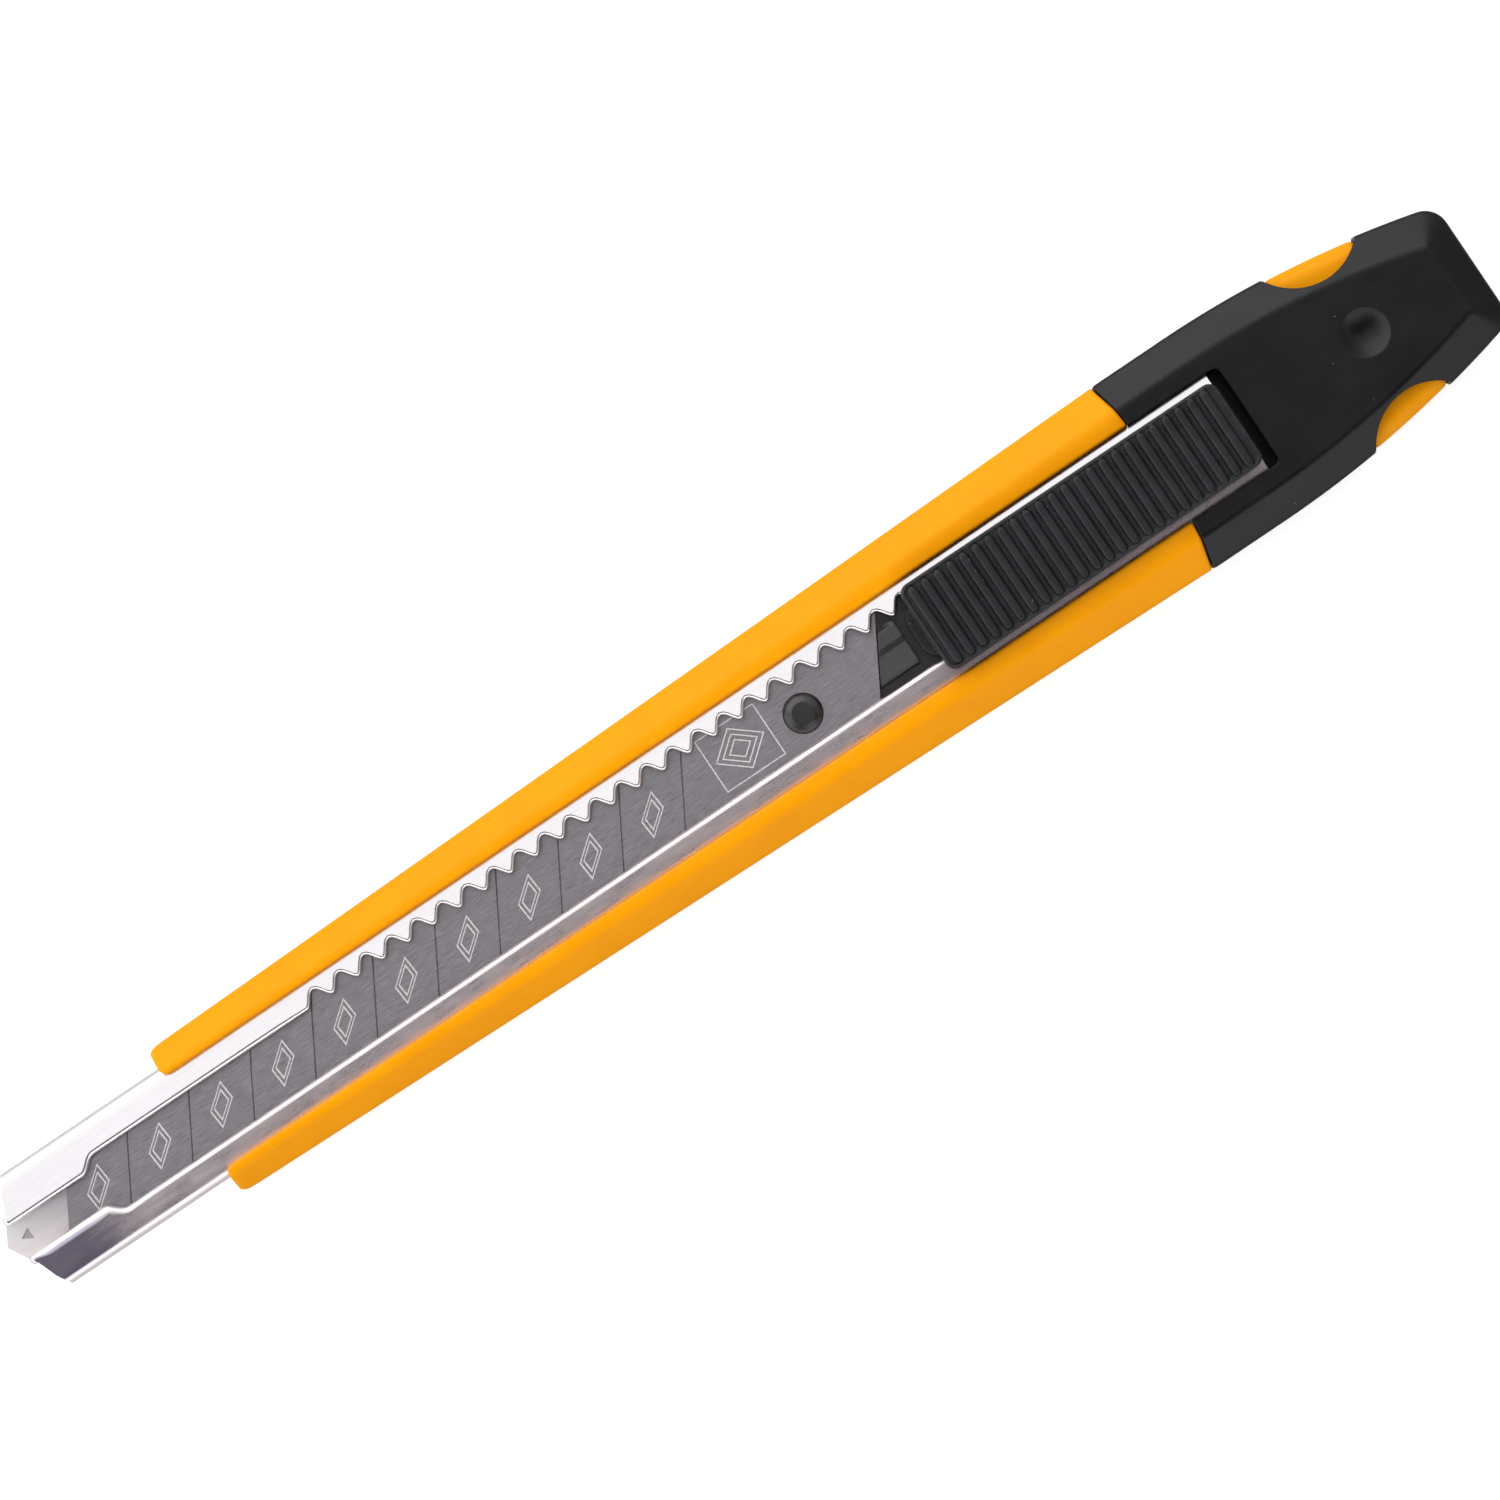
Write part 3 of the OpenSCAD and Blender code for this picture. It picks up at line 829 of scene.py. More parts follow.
def box_plan(x0: float, x1: float, y0: float, y1: float) -> list[Point]:
    """Corners of a rectangle.

    Args:
        x0: Rear end.
        x1: Front end.
        y0: Low side.
        y1: High side.

    Returns:
        The four corners.
    """
    return [(x0, y0), (x1, y0), (x1, y1), (x0, y1)]


def rounded_plan(x0: float, x1: float, half_w: float, radius: float, steps: int = 8) -> list[Point]:
    """Plan of a rectangle with round corners, centred across the knife.

    Args:
        x0: Rear end.
        x1: Front end.
        half_w: Half of its width.
        radius: Radius of its corners.
        steps: Segments in each corner.

    Returns:
        The outline.
    """
    corners = ((x1, 1, 0), (x0, 1, 90), (x0, -1, 180), (x1, -1, 270))
    plan = []
    for x, side, start in corners:
        centre_x, centre_y = x - radius if x == x1 else x + radius, side * (half_w - radius)
        for step in range(steps + 1):
            angle = math.radians(start + 90 * step / steps)
            plan.append((centre_x + radius * math.cos(angle), centre_y + radius * math.sin(angle)))
    return plan


def filleted(corners: Sequence[tuple[float, float, float]], steps: int = 4) -> list[Point]:
    """Round the corners of a closed outline.

    Args:
        corners: Each corner's two coordinates and how far the rounding reaches along its sides.
        steps: Segments in each corner.

    Returns:
        The outline, with the same number of points for each corner.
    """
    outline = []
    for index, (u, v, reach) in enumerate(corners):
        corner = Vector((u, v))
        before = (Vector(corners[index - 1][:2]) - corner).normalized() * reach
        after = (Vector(corners[(index + 1) % len(corners)][:2]) - corner).normalized() * reach
        for step in range(steps + 1):
            share = step / steps
            outline.append(tuple(corner + before * (1 - share) ** 2 + after * share ** 2))
    return outline


def moved_in(outline: Sequence[Point], amounts: Sequence[float]) -> list[Point]:
    """Move the points of a counter-clockwise outline inwards.

    Args:
        outline: The points.
        amounts: How far each one moves.

    Returns:
        The moved points.
    """
    moved = []
    for index, (u, v) in enumerate(outline):
        before, after = outline[index - 1], outline[(index + 1) % len(outline)]
        along = Vector((after[0] - before[0], after[1] - before[1])).normalized()
        moved.append((u - along.y * amounts[index], v + along.x * amounts[index]))
    return moved


def loft(name: str, rings: Sequence[Sequence[Vector]], axes: tuple[int, int]) -> bpy.types.Mesh:
    """Join closed rings of points by faces and close both ends.

    Args:
        name: The mesh's name.
        rings: The rings, with the same number of points.
        axes: The two axes in which the end rings are flat outlines.

    Returns:
        The mesh.
    """
    size = len(rings[0])
    points = [point for ring in rings for point in ring]
    faces: list[tuple[int, ...]] = []
    for row in range(len(rings) - 1):
        faces += band(row * size, (row + 1) * size, size)
    for ring, start in ((rings[0], 0), (rings[-1], (len(rings) - 1) * size)):
        flat = [Vector((point[axes[0]], point[axes[1]], 0)) for point in ring]
        faces += [tuple(start + i for i in triangle) for triangle in tessellate_polygon([flat])]
    return mesh_from(name, points, faces)


def disc_plan(x: float, y: float, radius: float, steps: int = 32) -> list[Point]:
    """Plan of a disc.

    Args:
        x: Its middle along the knife.
        y: Its middle across the knife.
        radius: Its radius.
        steps: Its segments.

    Returns:
        The outline.
    """
    return [(x + radius * math.cos(math.tau * i / steps), y + radius * math.sin(math.tau * i / steps))
            for i in range(steps)]


def combine(piece: bpy.types.Object, tools: Sequence[bpy.types.Object], operation: str) -> None:
    """Join tools to a piece or cut them out of it, and remove the tools.

    Args:
        piece: The piece, whose mesh changes.
        tools: The solids it is combined with.
        operation: UNION or DIFFERENCE.
    """
    for tool in tools:
        cut = piece.modifiers.new("Combine", "BOOLEAN")
        cut.operation = operation
        cut.solver = "EXACT"
        cut.object = tool
    bpy.context.view_layer.update()
    made = bpy.data.meshes.new_from_object(piece.evaluated_get(bpy.context.evaluated_depsgraph_get()))
    piece.modifiers.clear()
    piece.data = made
    for tool in tools:
        bpy.data.objects.remove(tool)


def smoothstep(low: float, high: float, value: float) -> float:
    """Ease from 0 to 1.

    Args:
        low: Where it starts.
        high: Where it ends.
        value: The value.

    Returns:
        The eased share.
    """
    share = min(1.0, max(0.0, (value - low) / (high - low)))
    return share * share * (3 - 2 * share)


def spread(low: float, high: float, count: int) -> list[float]:
    """Evenly spaced numbers.

    Args:
        low: The first.
        high: The last.
        count: How many steps lie between them.

    Returns:
        The numbers.
    """
    return [low + (high - low) * i / count for i in range(count + 1)]
def rounded_ends(rear_x: float, front_x: float, radius: float, middle: Sequence[float]) -> list[Point]:
    """Places along a piece with rounded ends, each with how far its section is moved in there.

    Args:
        rear_x: The rear end.
        front_x: The front end.
        radius: The radius of the rounding.
        middle: The places between the roundings.

    Returns:
        Pairs of a place and a distance, from the rear to the front.
    """
    turns = [math.radians(angle) for angle in QUARTER_TURN_DEG]
    ends = [(radius * (1 - math.cos(turn)), radius * (1 - math.sin(turn))) for turn in turns]
    stations = [(rear_x + along, inset) for along, inset in ends]
    stations += [(x, 0.0) for x in middle]
    return stations + [(front_x - along, inset) for along, inset in reversed(ends)]


def held(share: float) -> float:
    """A share held between 0 and 1."""
    return min(1.0, max(0.0, share))

# ------------------------------------------------------------------ pieces


def attach(piece: bpy.types.Object, node: str, body: Body, material: bpy.types.Material) -> None:
    """Let a piece stand for a CAD node, ride on its body and take its finish.

    Args:
        piece: The piece.
        node: The CAD node.
        body: The body.
        material: The finish.
    """
    piece.data.materials.clear()
    piece.data.materials.append(material)
    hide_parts(node)
    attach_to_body(piece, body.value)
    LOG.info("built %s: %d faces", piece.name, len(piece.data.polygons))


def dress_node(name: str, material: bpy.types.Material) -> None:
    """Give a CAD node its finish.

    Args:
        name: The node's name.
        material: Its finish.
    """
    for slot in bpy.data.objects[name].material_slots:
        slot.material = material
    LOG.info("dressed %s", name)


@dataclass
class Channel:
    """The folded steel channel: lips with rounded, slightly raised inner edges and a notched rack."""

    rear_x: float = -48.8
    tip_x: float = 72.0
    front_x: float = 66.0
    point_l: float = 3.06
    half_w: float = 5.3
    low_z: float = 2.2
    high_z: float = 5.8
    sheet: float = 0.5
    corner_r: float = 0.9
    rack_y: float = 2.45
    edge_y: float = 2.6
    mouth_rack_y: float = 1.4
    mouth_edge_y: float = 1.55
    step_rear_x: float = 61.6
    step_front_x: float = 63.4
    first_tooth_x: float = 39.4
    pitch: float = 2.5
    depth: float = 1.17
    teeth: int = 34
    lip_r: float = 0.8
    rack_edge_r: float = 0.26
    front_edge_r: float = 0.36
    edge_r: float = 0.45
    front_roll: float = 0.8
    front_roll_x: tuple[Point, Point] = ((60.5, 64.5), (70.0, 71.3))
    rack_roll_x: Point = (40.7, 44.0)
    tilt: float = 0.06
    drop: float = 0.06
    bend_l: float = 0.35
    lip_flat: float = 0.05
    most_slope: float = 6.0
    slope_step: float = 0.01
    floor_y: Point = (3.0, 1.5)
    end_chamfer: float = 0.06
    end_l: float = 0.05
    lip_end_deg: tuple[int, ...] = (15, 30, 45, 60, 72, 82, 90)
    tooth_steps: int = 12
    span_steps: tuple[int, ...] = (8, 14, 3, 4)
    mark_back: float = 2.0
    mark_r: float = 0.6
    mark_depth: float = 0.12
    sharp_deg: float = 40.0

    def edge(self, x: float, rack: bool) -> float:
        """How far a lip's inner edge is from the middle of the knife.

        Args:
            x: Place along the knife.
            rack: Whether it is the lip with the rack.

        Returns:
            The distance in millimetres.
        """
        wide, narrow = (self.rack_y, self.mouth_rack_y) if rack else (self.edge_y, self.mouth_edge_y)
        share = held((x - self.step_rear_x) / (self.step_front_x - self.step_rear_x))
        y = wide + (narrow - wide) * (1 - math.cos(math.pi * share)) / 2
        place = (self.first_tooth_x - x) / self.pitch
        if rack and -0.5 < place < self.teeth - 0.5:
            y += self.depth * (1 + math.cos(math.tau * place)) / 2
        into = min(self.lip_r, x - (self.tip_x - self.lip_r))
        if into > 0:
            y += self.lip_r - math.sqrt(max(0.0, self.lip_r ** 2 - into ** 2))
        return y

    def stations(self) -> list[float]:
        """Places along the knife where the section is set, from the rear to the tip.

        Returns:
            The places.
        """
        rack_front = self.first_tooth_x + self.pitch / 2
        rack_rear = rack_front - self.teeth * self.pitch
        lip_end = self.tip_x - self.lip_r
        places = [self.rear_x, self.rear_x + self.end_l]
        places += spread(rack_rear, rack_front, self.teeth * self.tooth_steps)
        bounds = (rack_front, self.step_rear_x, self.step_front_x, self.front_x, lip_end)
        for rear, front, count in zip(bounds, bounds[1:], self.span_steps):
            places += spread(rear, front, count)[1:]
        return places + [lip_end + self.lip_r * math.sin(math.radians(a)) for a in self.lip_end_deg]

    def half_profile(self, x: float, side: int, shrink: float) -> list[tuple[Vector, Vector]]:
        """Outer and inner points of half of the section, from the lip's edge to near the floor's middle.

        Args:
            x: Place along the knife.
            side: 1 or -1 across the knife; the rack is on -1.
            shrink: How much thinner each face of the sheet is here.

        Returns:
            Pairs of points.
        """
        rack = side < 0
        y = self.edge(x, rack)
        ahead, behind = min(x + self.slope_step, self.tip_x), x - self.slope_step
        slope = (self.edge(ahead, rack) - self.edge(behind, rack)) / (2 * self.slope_step)
        slope = max(-self.most_slope, min(self.most_slope, slope))
        length = math.hypot(1, slope)
        flat_y = self.half_w - self.corner_r
        edge_r, roll = self.rounding(x, rack)

        def point(along: float, across: float, height: float) -> Vector:
            """A point on this side, drawn back near the tip.

            Args:
                along: Place along the knife.
                across: Distance from the middle of the knife.
                height: Height.

            Returns:
                The point.
            """
            return Vector((self.sheared(along, across), side * across, height))

        def lip(offset: float, height: float) -> Vector:
            """A point of the lip, which slopes a little towards its edge.

            Args:
                offset: Distance from the edge, square to it.
                height: Height before the slope.

            Returns:
                The point.
            """
            across = y + offset / length
            rise = self.tilt * (flat_y - across) - self.drop
            return point(x - offset * slope / length, across, height + rise)

        top, under = self.high_z - shrink, self.high_z - self.sheet + shrink
        pairs = []
        for angle in QUARTER_TURN_DEG:
            turn = math.radians(angle)
            outer = lip(roll * (1 - math.cos(turn)), top - edge_r * (1 - math.sin(turn)))
            pairs.append((outer, lip(roll * angle / QUARTER_TURN_DEG[-1], under)))
        pairs.append(tuple(lip(roll + self.lip_flat, z) for z in (top, under)))
        lean = self.tilt * self.bend_l - self.drop
        pairs.append(tuple(point(x, flat_y - self.bend_l, z + lean) for z in (top, under)))
        for centre_z, angles in ((self.high_z - self.corner_r, QUARTER_TURN_DEG[::-1]),
                                 (self.low_z + self.corner_r, [-angle for angle in QUARTER_TURN_DEG])):
            for angle in angles:
                turn = math.radians(angle)
                sink = self.drop * max(0.0, math.sin(turn))
                pairs.append(tuple(
                    point(x, flat_y + r * math.cos(turn), centre_z + r * math.sin(turn) - sink)
                    for r in (self.corner_r - shrink, self.corner_r - self.sheet + shrink)))
        pairs += [tuple(point(x, across, z) for z in self.floor_heights(shrink)) for across in self.floor_y]
        return pairs

    def floor_heights(self, shrink: float) -> Point:
        """Heights of the floor's underside and top, each moved into the sheet."""
        return self.low_z + shrink, self.low_z + self.sheet - shrink

    def rounding(self, x: float, rack: bool) -> Point:
        """Height and width of the rounding of a lip's inner edge.

        Args:
            x: Place along the knife.
            rack: Whether it is the lip with the rack.

        Returns:
            The height and the width.
        """
        if rack:
            grown = (self.front_edge_r - self.rack_edge_r) * smoothstep(*self.rack_roll_x, x)
            return self.rack_edge_r + grown, self.rack_edge_r + grown
        grows, fades = (smoothstep(*span, x) for span in self.front_roll_x)
        return self.edge_r, self.edge_r * (1 + self.front_roll * (grows - fades))

    def sheared(self, along: float, across: float) -> float:
        """Place along the knife, drawn back near the tip so that the channel ends in a point.

        Args:
            along: Place before that.
            across: Distance from the middle of the knife.

        Returns:
            The place.
        """
        if along <= self.front_x:
            return along
        end = self.tip_x - self.point_l * across / self.half_w
        return self.front_x + (along - self.front_x) * (end - self.front_x) / (self.tip_x - self.front_x)

    def build(self, material: bpy.types.Material) -> bpy.types.Object:
        """Loft the sections, stamp the mark and dress the piece.

        Args:
            material: Its finish.

        Returns:
            The piece.
        """
        points: list[Vector] = []
        faces: list[tuple[int, ...]] = []
        stations = self.stations()
        size = 0
        for x in stations:
            shrink = self.end_chamfer if x in (stations[0], stations[-1]) else 0.0
            left, right = self.half_profile(x, -1, shrink), self.half_profile(x, 1, shrink)
            middle = tuple(Vector((self.sheared(x, 0), 0, z)) for z in self.floor_heights(shrink))
            pairs = [*left, middle, *reversed(right)]
            size = len(pairs)
            points += [outer for outer, _ in pairs] + [inner for _, inner in reversed(pairs)]
        ring = 2 * size
        for row in range(len(stations) - 1):
            faces += band(row * ring, (row + 1) * ring, ring)
        for start in (0, (len(stations) - 1) * ring):
            faces += [(start + i, start + i + 1, start + ring - 2 - i, start + ring - 1 - i)
                      for i in range(size - 1)]
        piece = link("channel_finished", mesh_from("channel_finished", points, faces))
        mark = disc_plan(self.tip_x - self.mark_back, 0, self.mark_r, steps=3)
        combine(piece, [prism(mark, self.low_z + self.sheet - self.mark_depth, self.high_z)], "DIFFERENCE")
        finish_mesh(piece.data, self.sharp_deg)
        attach(piece, "channel", Body.HANDLE, material)
        return piece


def parting_x(across: float) -> float:
    """Place of the parting line between the handle and the tail cover.

    Args:
        across: Distance from the middle of the knife.

    Returns:
        The place along the knife.
    """
    for (y0, x0), (y1, x1) in zip(PARTING_LINE, PARTING_LINE[1:]):
        if across <= y1:
            return x0 + (x1 - x0) * (across - y0) / (y1 - y0)
    return PARTING_LINE[-1][1]


@dataclass
class Handle:
    """The handle: two arms with sloped bands, a floor, and the tenon inside the tail cover."""

    front_x: float = 53.4
    rear_x: float = -41.1
    front_half_w: float = 6.95
    rear_half_w: float = 8.9
    front_gap: float = 4.45
    rear_gap: float = 4.68
    high_z: float = 7.1
    side_top_z: float = 5.6
    side_low_z: float = 1.5
    seat_y: float = 5.33
    seat_low_z: float = 2.17
    seat_high_z: float = 5.83
    plan_r: float = 0.75
    end_r: float = 0.28
    ridge_in: float = 1.8
    ridge_taper: float = 0.36
    front_blend: float = 1.4
    rear_blend: float = 1.5
    low_fillet: float = 0.4
    band_fillet: float = 0.35
    gap_fillet: float = 0.3
    seat_fillet: float = 0.03
    floor_fillet: float = 0.1
    above_seat: float = 0.1
    tenon_x: Point = (-48.0, -39.1)
    tenon_z: Point = (1.3, 5.8)
    tenon_y: Point = (5.35, 7.3)
    tenon_overlap: float = 0.1
    knuckle: Point = (-47.9, 6.45)
    knuckle_r: float = 0.72
    knuckle_past: float = 0.2
    sharp_deg: float = 38.0

    def section(self, x: float) -> tuple[list[Point], list[float]]:
        """The handle's section and how much each of its points takes part in the rounding of the ends.

        Args:
            x: Place along the knife.

        Returns:
            The outline across and up, and the shares.
        """
        share = (self.front_x - x) / (self.front_x - self.rear_x)
        half_w = self.front_half_w + (self.rear_half_w - self.front_half_w) * share
        gap = self.front_gap + (self.rear_gap - self.front_gap) * share
        ridge = half_w - self.ridge_in - (half_w - self.front_half_w) * self.ridge_taper
        half = [(half_w - self.side_low_z, 0, self.low_fillet, 1),
                (half_w, self.side_low_z, self.low_fillet, 1),
                (half_w, self.side_top_z, self.band_fillet, 1), (ridge, self.high_z, self.low_fillet, 1),
                (gap, self.high_z, self.gap_fillet, 1), (gap, self.seat_high_z, self.seat_fillet, 0),
                (self.seat_y, self.seat_high_z, self.seat_fillet, 0),
                (self.seat_y, self.seat_low_z, self.floor_fillet, 0)]
        corners = half + [(-y, z, reach, part) for y, z, reach, part in reversed(half)]
        outline = filleted([corner[:3] for corner in corners])
        per_corner = len(outline) // len(corners)
        return outline, [corner[3] for corner in corners for _ in range(per_corner)]

    def end_shift(self, y: float, z: float) -> float:
        """How far the front end is drawn back by the round corners of the arms.

        Args:
            y: Place across the knife.
            z: Height.

        Returns:
            The distance.
        """
        into = abs(y) - (self.front_half_w - self.plan_r)
        if z > self.seat_high_z - self.above_seat:
            into = max(into, self.front_gap + self.plan_r - abs(y))
        into = min(into, self.plan_r)
        return 0.0 if into <= 0 else self.plan_r - math.sqrt(self.plan_r ** 2 - into ** 2)

    def build(self, material: bpy.types.Material) -> bpy.types.Object:
        """Loft the arms and the floor, add the tenon and dress the piece.

        Args:
            material: Its finish.

        Returns:
            The piece.
        """
        middle = spread(self.rear_x + self.rear_blend, self.front_x - self.front_blend, count=24)
        rings = []
        for x, inset in rounded_ends(self.rear_x, self.front_x, self.end_r, middle):
            outline, shares = self.section(x)
            moved = moved_in(outline, [share * inset for share in shares])
            front = held((x - self.front_x + self.front_blend) / (self.front_blend - self.end_r))
            rear = held((self.rear_x + self.rear_blend - x) / (self.rear_blend - self.end_r))
            shifts = [rear * (parting_x(abs(y)) - self.rear_x) - front * self.end_shift(y, z)
                      for y, z in moved]
            rings.append([Vector((x + shift, y, z)) for shift, (y, z) in zip(shifts, moved)])
        piece = link("handle_finished", loft("handle_finished", rings, (1, 2)))
        low, high = self.tenon_z
        inner, outer = self.tenon_y
        floor_y = inner + self.tenon_overlap
        tenon = [prism(box_plan(*self.tenon_x, inner, outer), low, high),
                 prism(box_plan(*self.tenon_x, -outer, -inner), low, high),
                 prism(box_plan(*self.tenon_x, -floor_y, floor_y), low, self.seat_low_z)]
        combine(piece, tenon, "UNION")
        knuckle_x, knuckle_y = self.knuckle
        sockets = [prism(disc_plan(knuckle_x, side * knuckle_y, self.knuckle_r),
                         low - self.knuckle_past, high + self.knuckle_past) for side in (-1, 1)]
        combine(piece, sockets, "DIFFERENCE")
        finish_mesh(piece.data, self.sharp_deg)
        attach(piece, "handle", Body.HANDLE, material)
        return piece


@dataclass
class TailCover:
    """The hollow tail cover: sloped bands round a flat top, a window, a dimple and two scoops."""

    tail_x: float = -72.0
    outline_x: float = -47.5
    outline_y: float = 8.92
    outline_r: float = 89.0
    ridge_y: float = 6.35
    ridge_r: float = 78.0
    ridge_end_x: float = -69.5
    corner_r: float = 2.1
    top_corner_r: float = 0.3
    high_z: float = 7.1
    side_top_z: float = 5.6
    side_low_z: float = 1.5
    gap: float = 0.12
    scoop_x: float = -61.4
    scoop_y: float = 10.64
    scoop_r: float = 5.1
    past: float = 0.05
    front_side_y: float = 8.0
    front_r: float = 0.25
    front_turn_deg: tuple[int, ...] = (22, 45, 68, 90)
    corner_start_deg: float = 103.8
    top_start_deg: float = 105.4
    underside: tuple[Point, ...] = ((1.62, 0.0), (1.5, 0.02), (1.36, 0.14), (0.3, 1.2), (0.14, 1.38),
                                    (0.04, 1.6), (0.0, 1.85))
    edge_share: float = 0.1
    edge_l: float = 0.3
    ridge_blend: float = 0.16
    ridge_shares: tuple[float, ...] = (0.88, 0.92, 0.95, 0.98, 1.0, 1.03, 1.06, 1.1, 1.14)
    wall: float = 1.45
    hollow_x: Point = (-68.0, -39.0)
    hollow_z: Point = (1.2, 5.9)
    window_x: Point = (-49.85, -30.0)
    window_half_w: float = 4.68
    window_r: float = 0.6
    pad_x: Point = (-65.05, -56.75)
    pad_y: Point = (5.4, 10.4)
    dimple_y: float = -0.2
    dimple_r: float = 2.05
    dimple_depth: float = 0.6
    clear_z: Point = (-5.0, 10.0)
    sharp_deg: float = 30.0

    def outline(self, x: float) -> float:
        """Half of the cover's width at a place along the knife."""
        return self.outline_y - max(0.0, self.outline_x - x) ** 2 / (2 * self.outline_r)

    def ridge(self, x: float) -> float:
        """Half of the flat top's width at a place along the knife."""
        return self.ridge_y - max(0.0, self.outline_x - x) ** 2 / (2 * self.ridge_r)

    def half_plan(self, top: bool, inset: float) -> list[Point]:
        """Half of a plan of the cover, from the middle of its front to the middle of its end.

        Args:
            top: Whether it is the plan of the flat top.
            inset: How far the plan is moved in.

        Returns:
            The outline, with the same number of points for every plan.
        """
        width = self.ridge if top else self.outline
        front_w, front_r = width(parting_x(self.front_side_y)) - inset, self.front_r
        plan = [(parting_x(y) - self.gap, y) for y in spread(0, front_w - front_r, count=14)]
        corner_x = parting_x(front_w) - self.gap
        plan += [(corner_x - front_r * (1 - math.cos(a)), front_w - front_r * (1 - math.sin(a)))
                 for a in (math.radians(d) for d in self.front_turn_deg)]
        radius = self.top_corner_r if top else self.corner_r - inset
        centre_x = self.ridge_end_x + radius if top else self.tail_x + self.corner_r
        start = math.radians(self.top_start_deg if top else self.corner_start_deg)
        end_x = centre_x + radius * math.cos(start)
        plan += [(x, width(x) - inset) for x in spread(corner_x - front_r, end_x, count=26)[1:]]
        centre_y = plan[-1][1] - radius * math.sin(start)
        plan += [(centre_x + radius * math.cos(a), centre_y + radius * math.sin(a))
                 for a in spread(start, math.pi, count=9)[1:]]
        end_x, end_y = plan[-1]
        return plan + [(end_x, y) for y in spread(end_y, 0.0, count=4)[1:]]

    def levels(self) -> list[tuple[float, float, float]]:
        """Heights of the rings, each with its share towards the flat top and its inset at the underside.

        Returns:
            The levels from the underside up.
        """
        rows = [(z, 0.0, inset) for inset, z in self.underside]
        rise = self.high_z - self.side_top_z
        for share in spread(0, 1, count=5):
            low, middle, high = (1 - share) ** 2, 2 * share * (1 - share), share ** 2
            z = (low * (self.side_top_z - self.edge_l) + middle * self.side_top_z
                 + high * (self.side_top_z + self.edge_share * rise))
            rows.append((z, self.edge_share * high, 0.0))
        for share in self.ridge_shares:
            line = self.side_top_z + rise * share
            near = max(self.ridge_blend - abs(line - self.high_z), 0.0) / self.ridge_blend
            rows.append((min(line, self.high_z) - near ** 2 * self.ridge_blend / 4, share, 0.0))
        return rows

    def build(self, material: bpy.types.Material) -> bpy.types.Object:
        """Stack the rings, cut the hollow and the openings and dress the piece.

        Args:
            material: Its finish.

        Returns:
            The piece.
        """
        side, top = self.half_plan(False, 0.0), self.half_plan(True, 0.0)
        rings = []
        for z, towards_top, inset in self.levels():
            low = self.half_plan(False, inset) if inset else side
            half = [(x0 + (x1 - x0) * towards_top, y0 + (y1 - y0) * towards_top)
                    for (x0, y0), (x1, y1) in zip(low, top)]
            whole = half + [(x, -y) for x, y in reversed(half[1:-1])]
            rings.append([Vector((x, y, z)) for x, y in whole])
        piece = link("tail_cover_finished", loft("tail_cover_finished", rings, (0, 1)))
        combine(piece, self.tools(), "DIFFERENCE")
        finish_mesh(piece.data, self.sharp_deg)
        attach(piece, "tail_cover", Body.COVER, material)
        return piece

    def tools(self) -> list[bpy.types.Object]:
        """Solids that are cut out of the cover.

        Returns:
            The hollow, the window, the scoops, the openings in the sides and the dimple.
        """
        rear_x, front_x = self.hollow_x
        low, roof_z = self.hollow_z
        bottom, top = self.clear_z
        half = [(front_x, self.outline_y - self.wall)]
        half += [(x, self.outline(x) - self.wall) for x in spread(self.outline_x, rear_x, count=12)]
        tools = [prism(half + [(x, -y) for x, y in reversed(half)], low, roof_z),
                 prism(rounded_plan(*self.window_x, self.window_half_w, self.window_r), roof_z - 1, top)]
        for side in (-1, 1):
            scoop = disc_plan(self.scoop_x, side * self.scoop_y, self.scoop_r, steps=120)
            opening = box_plan(*self.pad_x, *sorted(side * y for y in self.pad_y))
            tools += [prism(scoop, self.side_top_z - self.past, top),
                      prism(scoop, bottom, self.side_low_z + self.past),
                      prism(opening, self.side_low_z, self.side_top_z)]
        ball_r = (self.dimple_r ** 2 + self.dimple_depth ** 2) / (2 * self.dimple_depth)
        centre = Vector((self.scoop_x, self.dimple_y, self.high_z - self.dimple_depth + ball_r))
        ball = bpy.data.meshes.new("ball")
        bm = bmesh.new()
        bmesh.ops.create_icosphere(bm, subdivisions=6, radius=ball_r * MM)
        bmesh.ops.translate(bm, verts=bm.verts, vec=centre * MM)
        bm.to_mesh(ball)
        bm.free()
        return [*tools, link("ball", ball)]


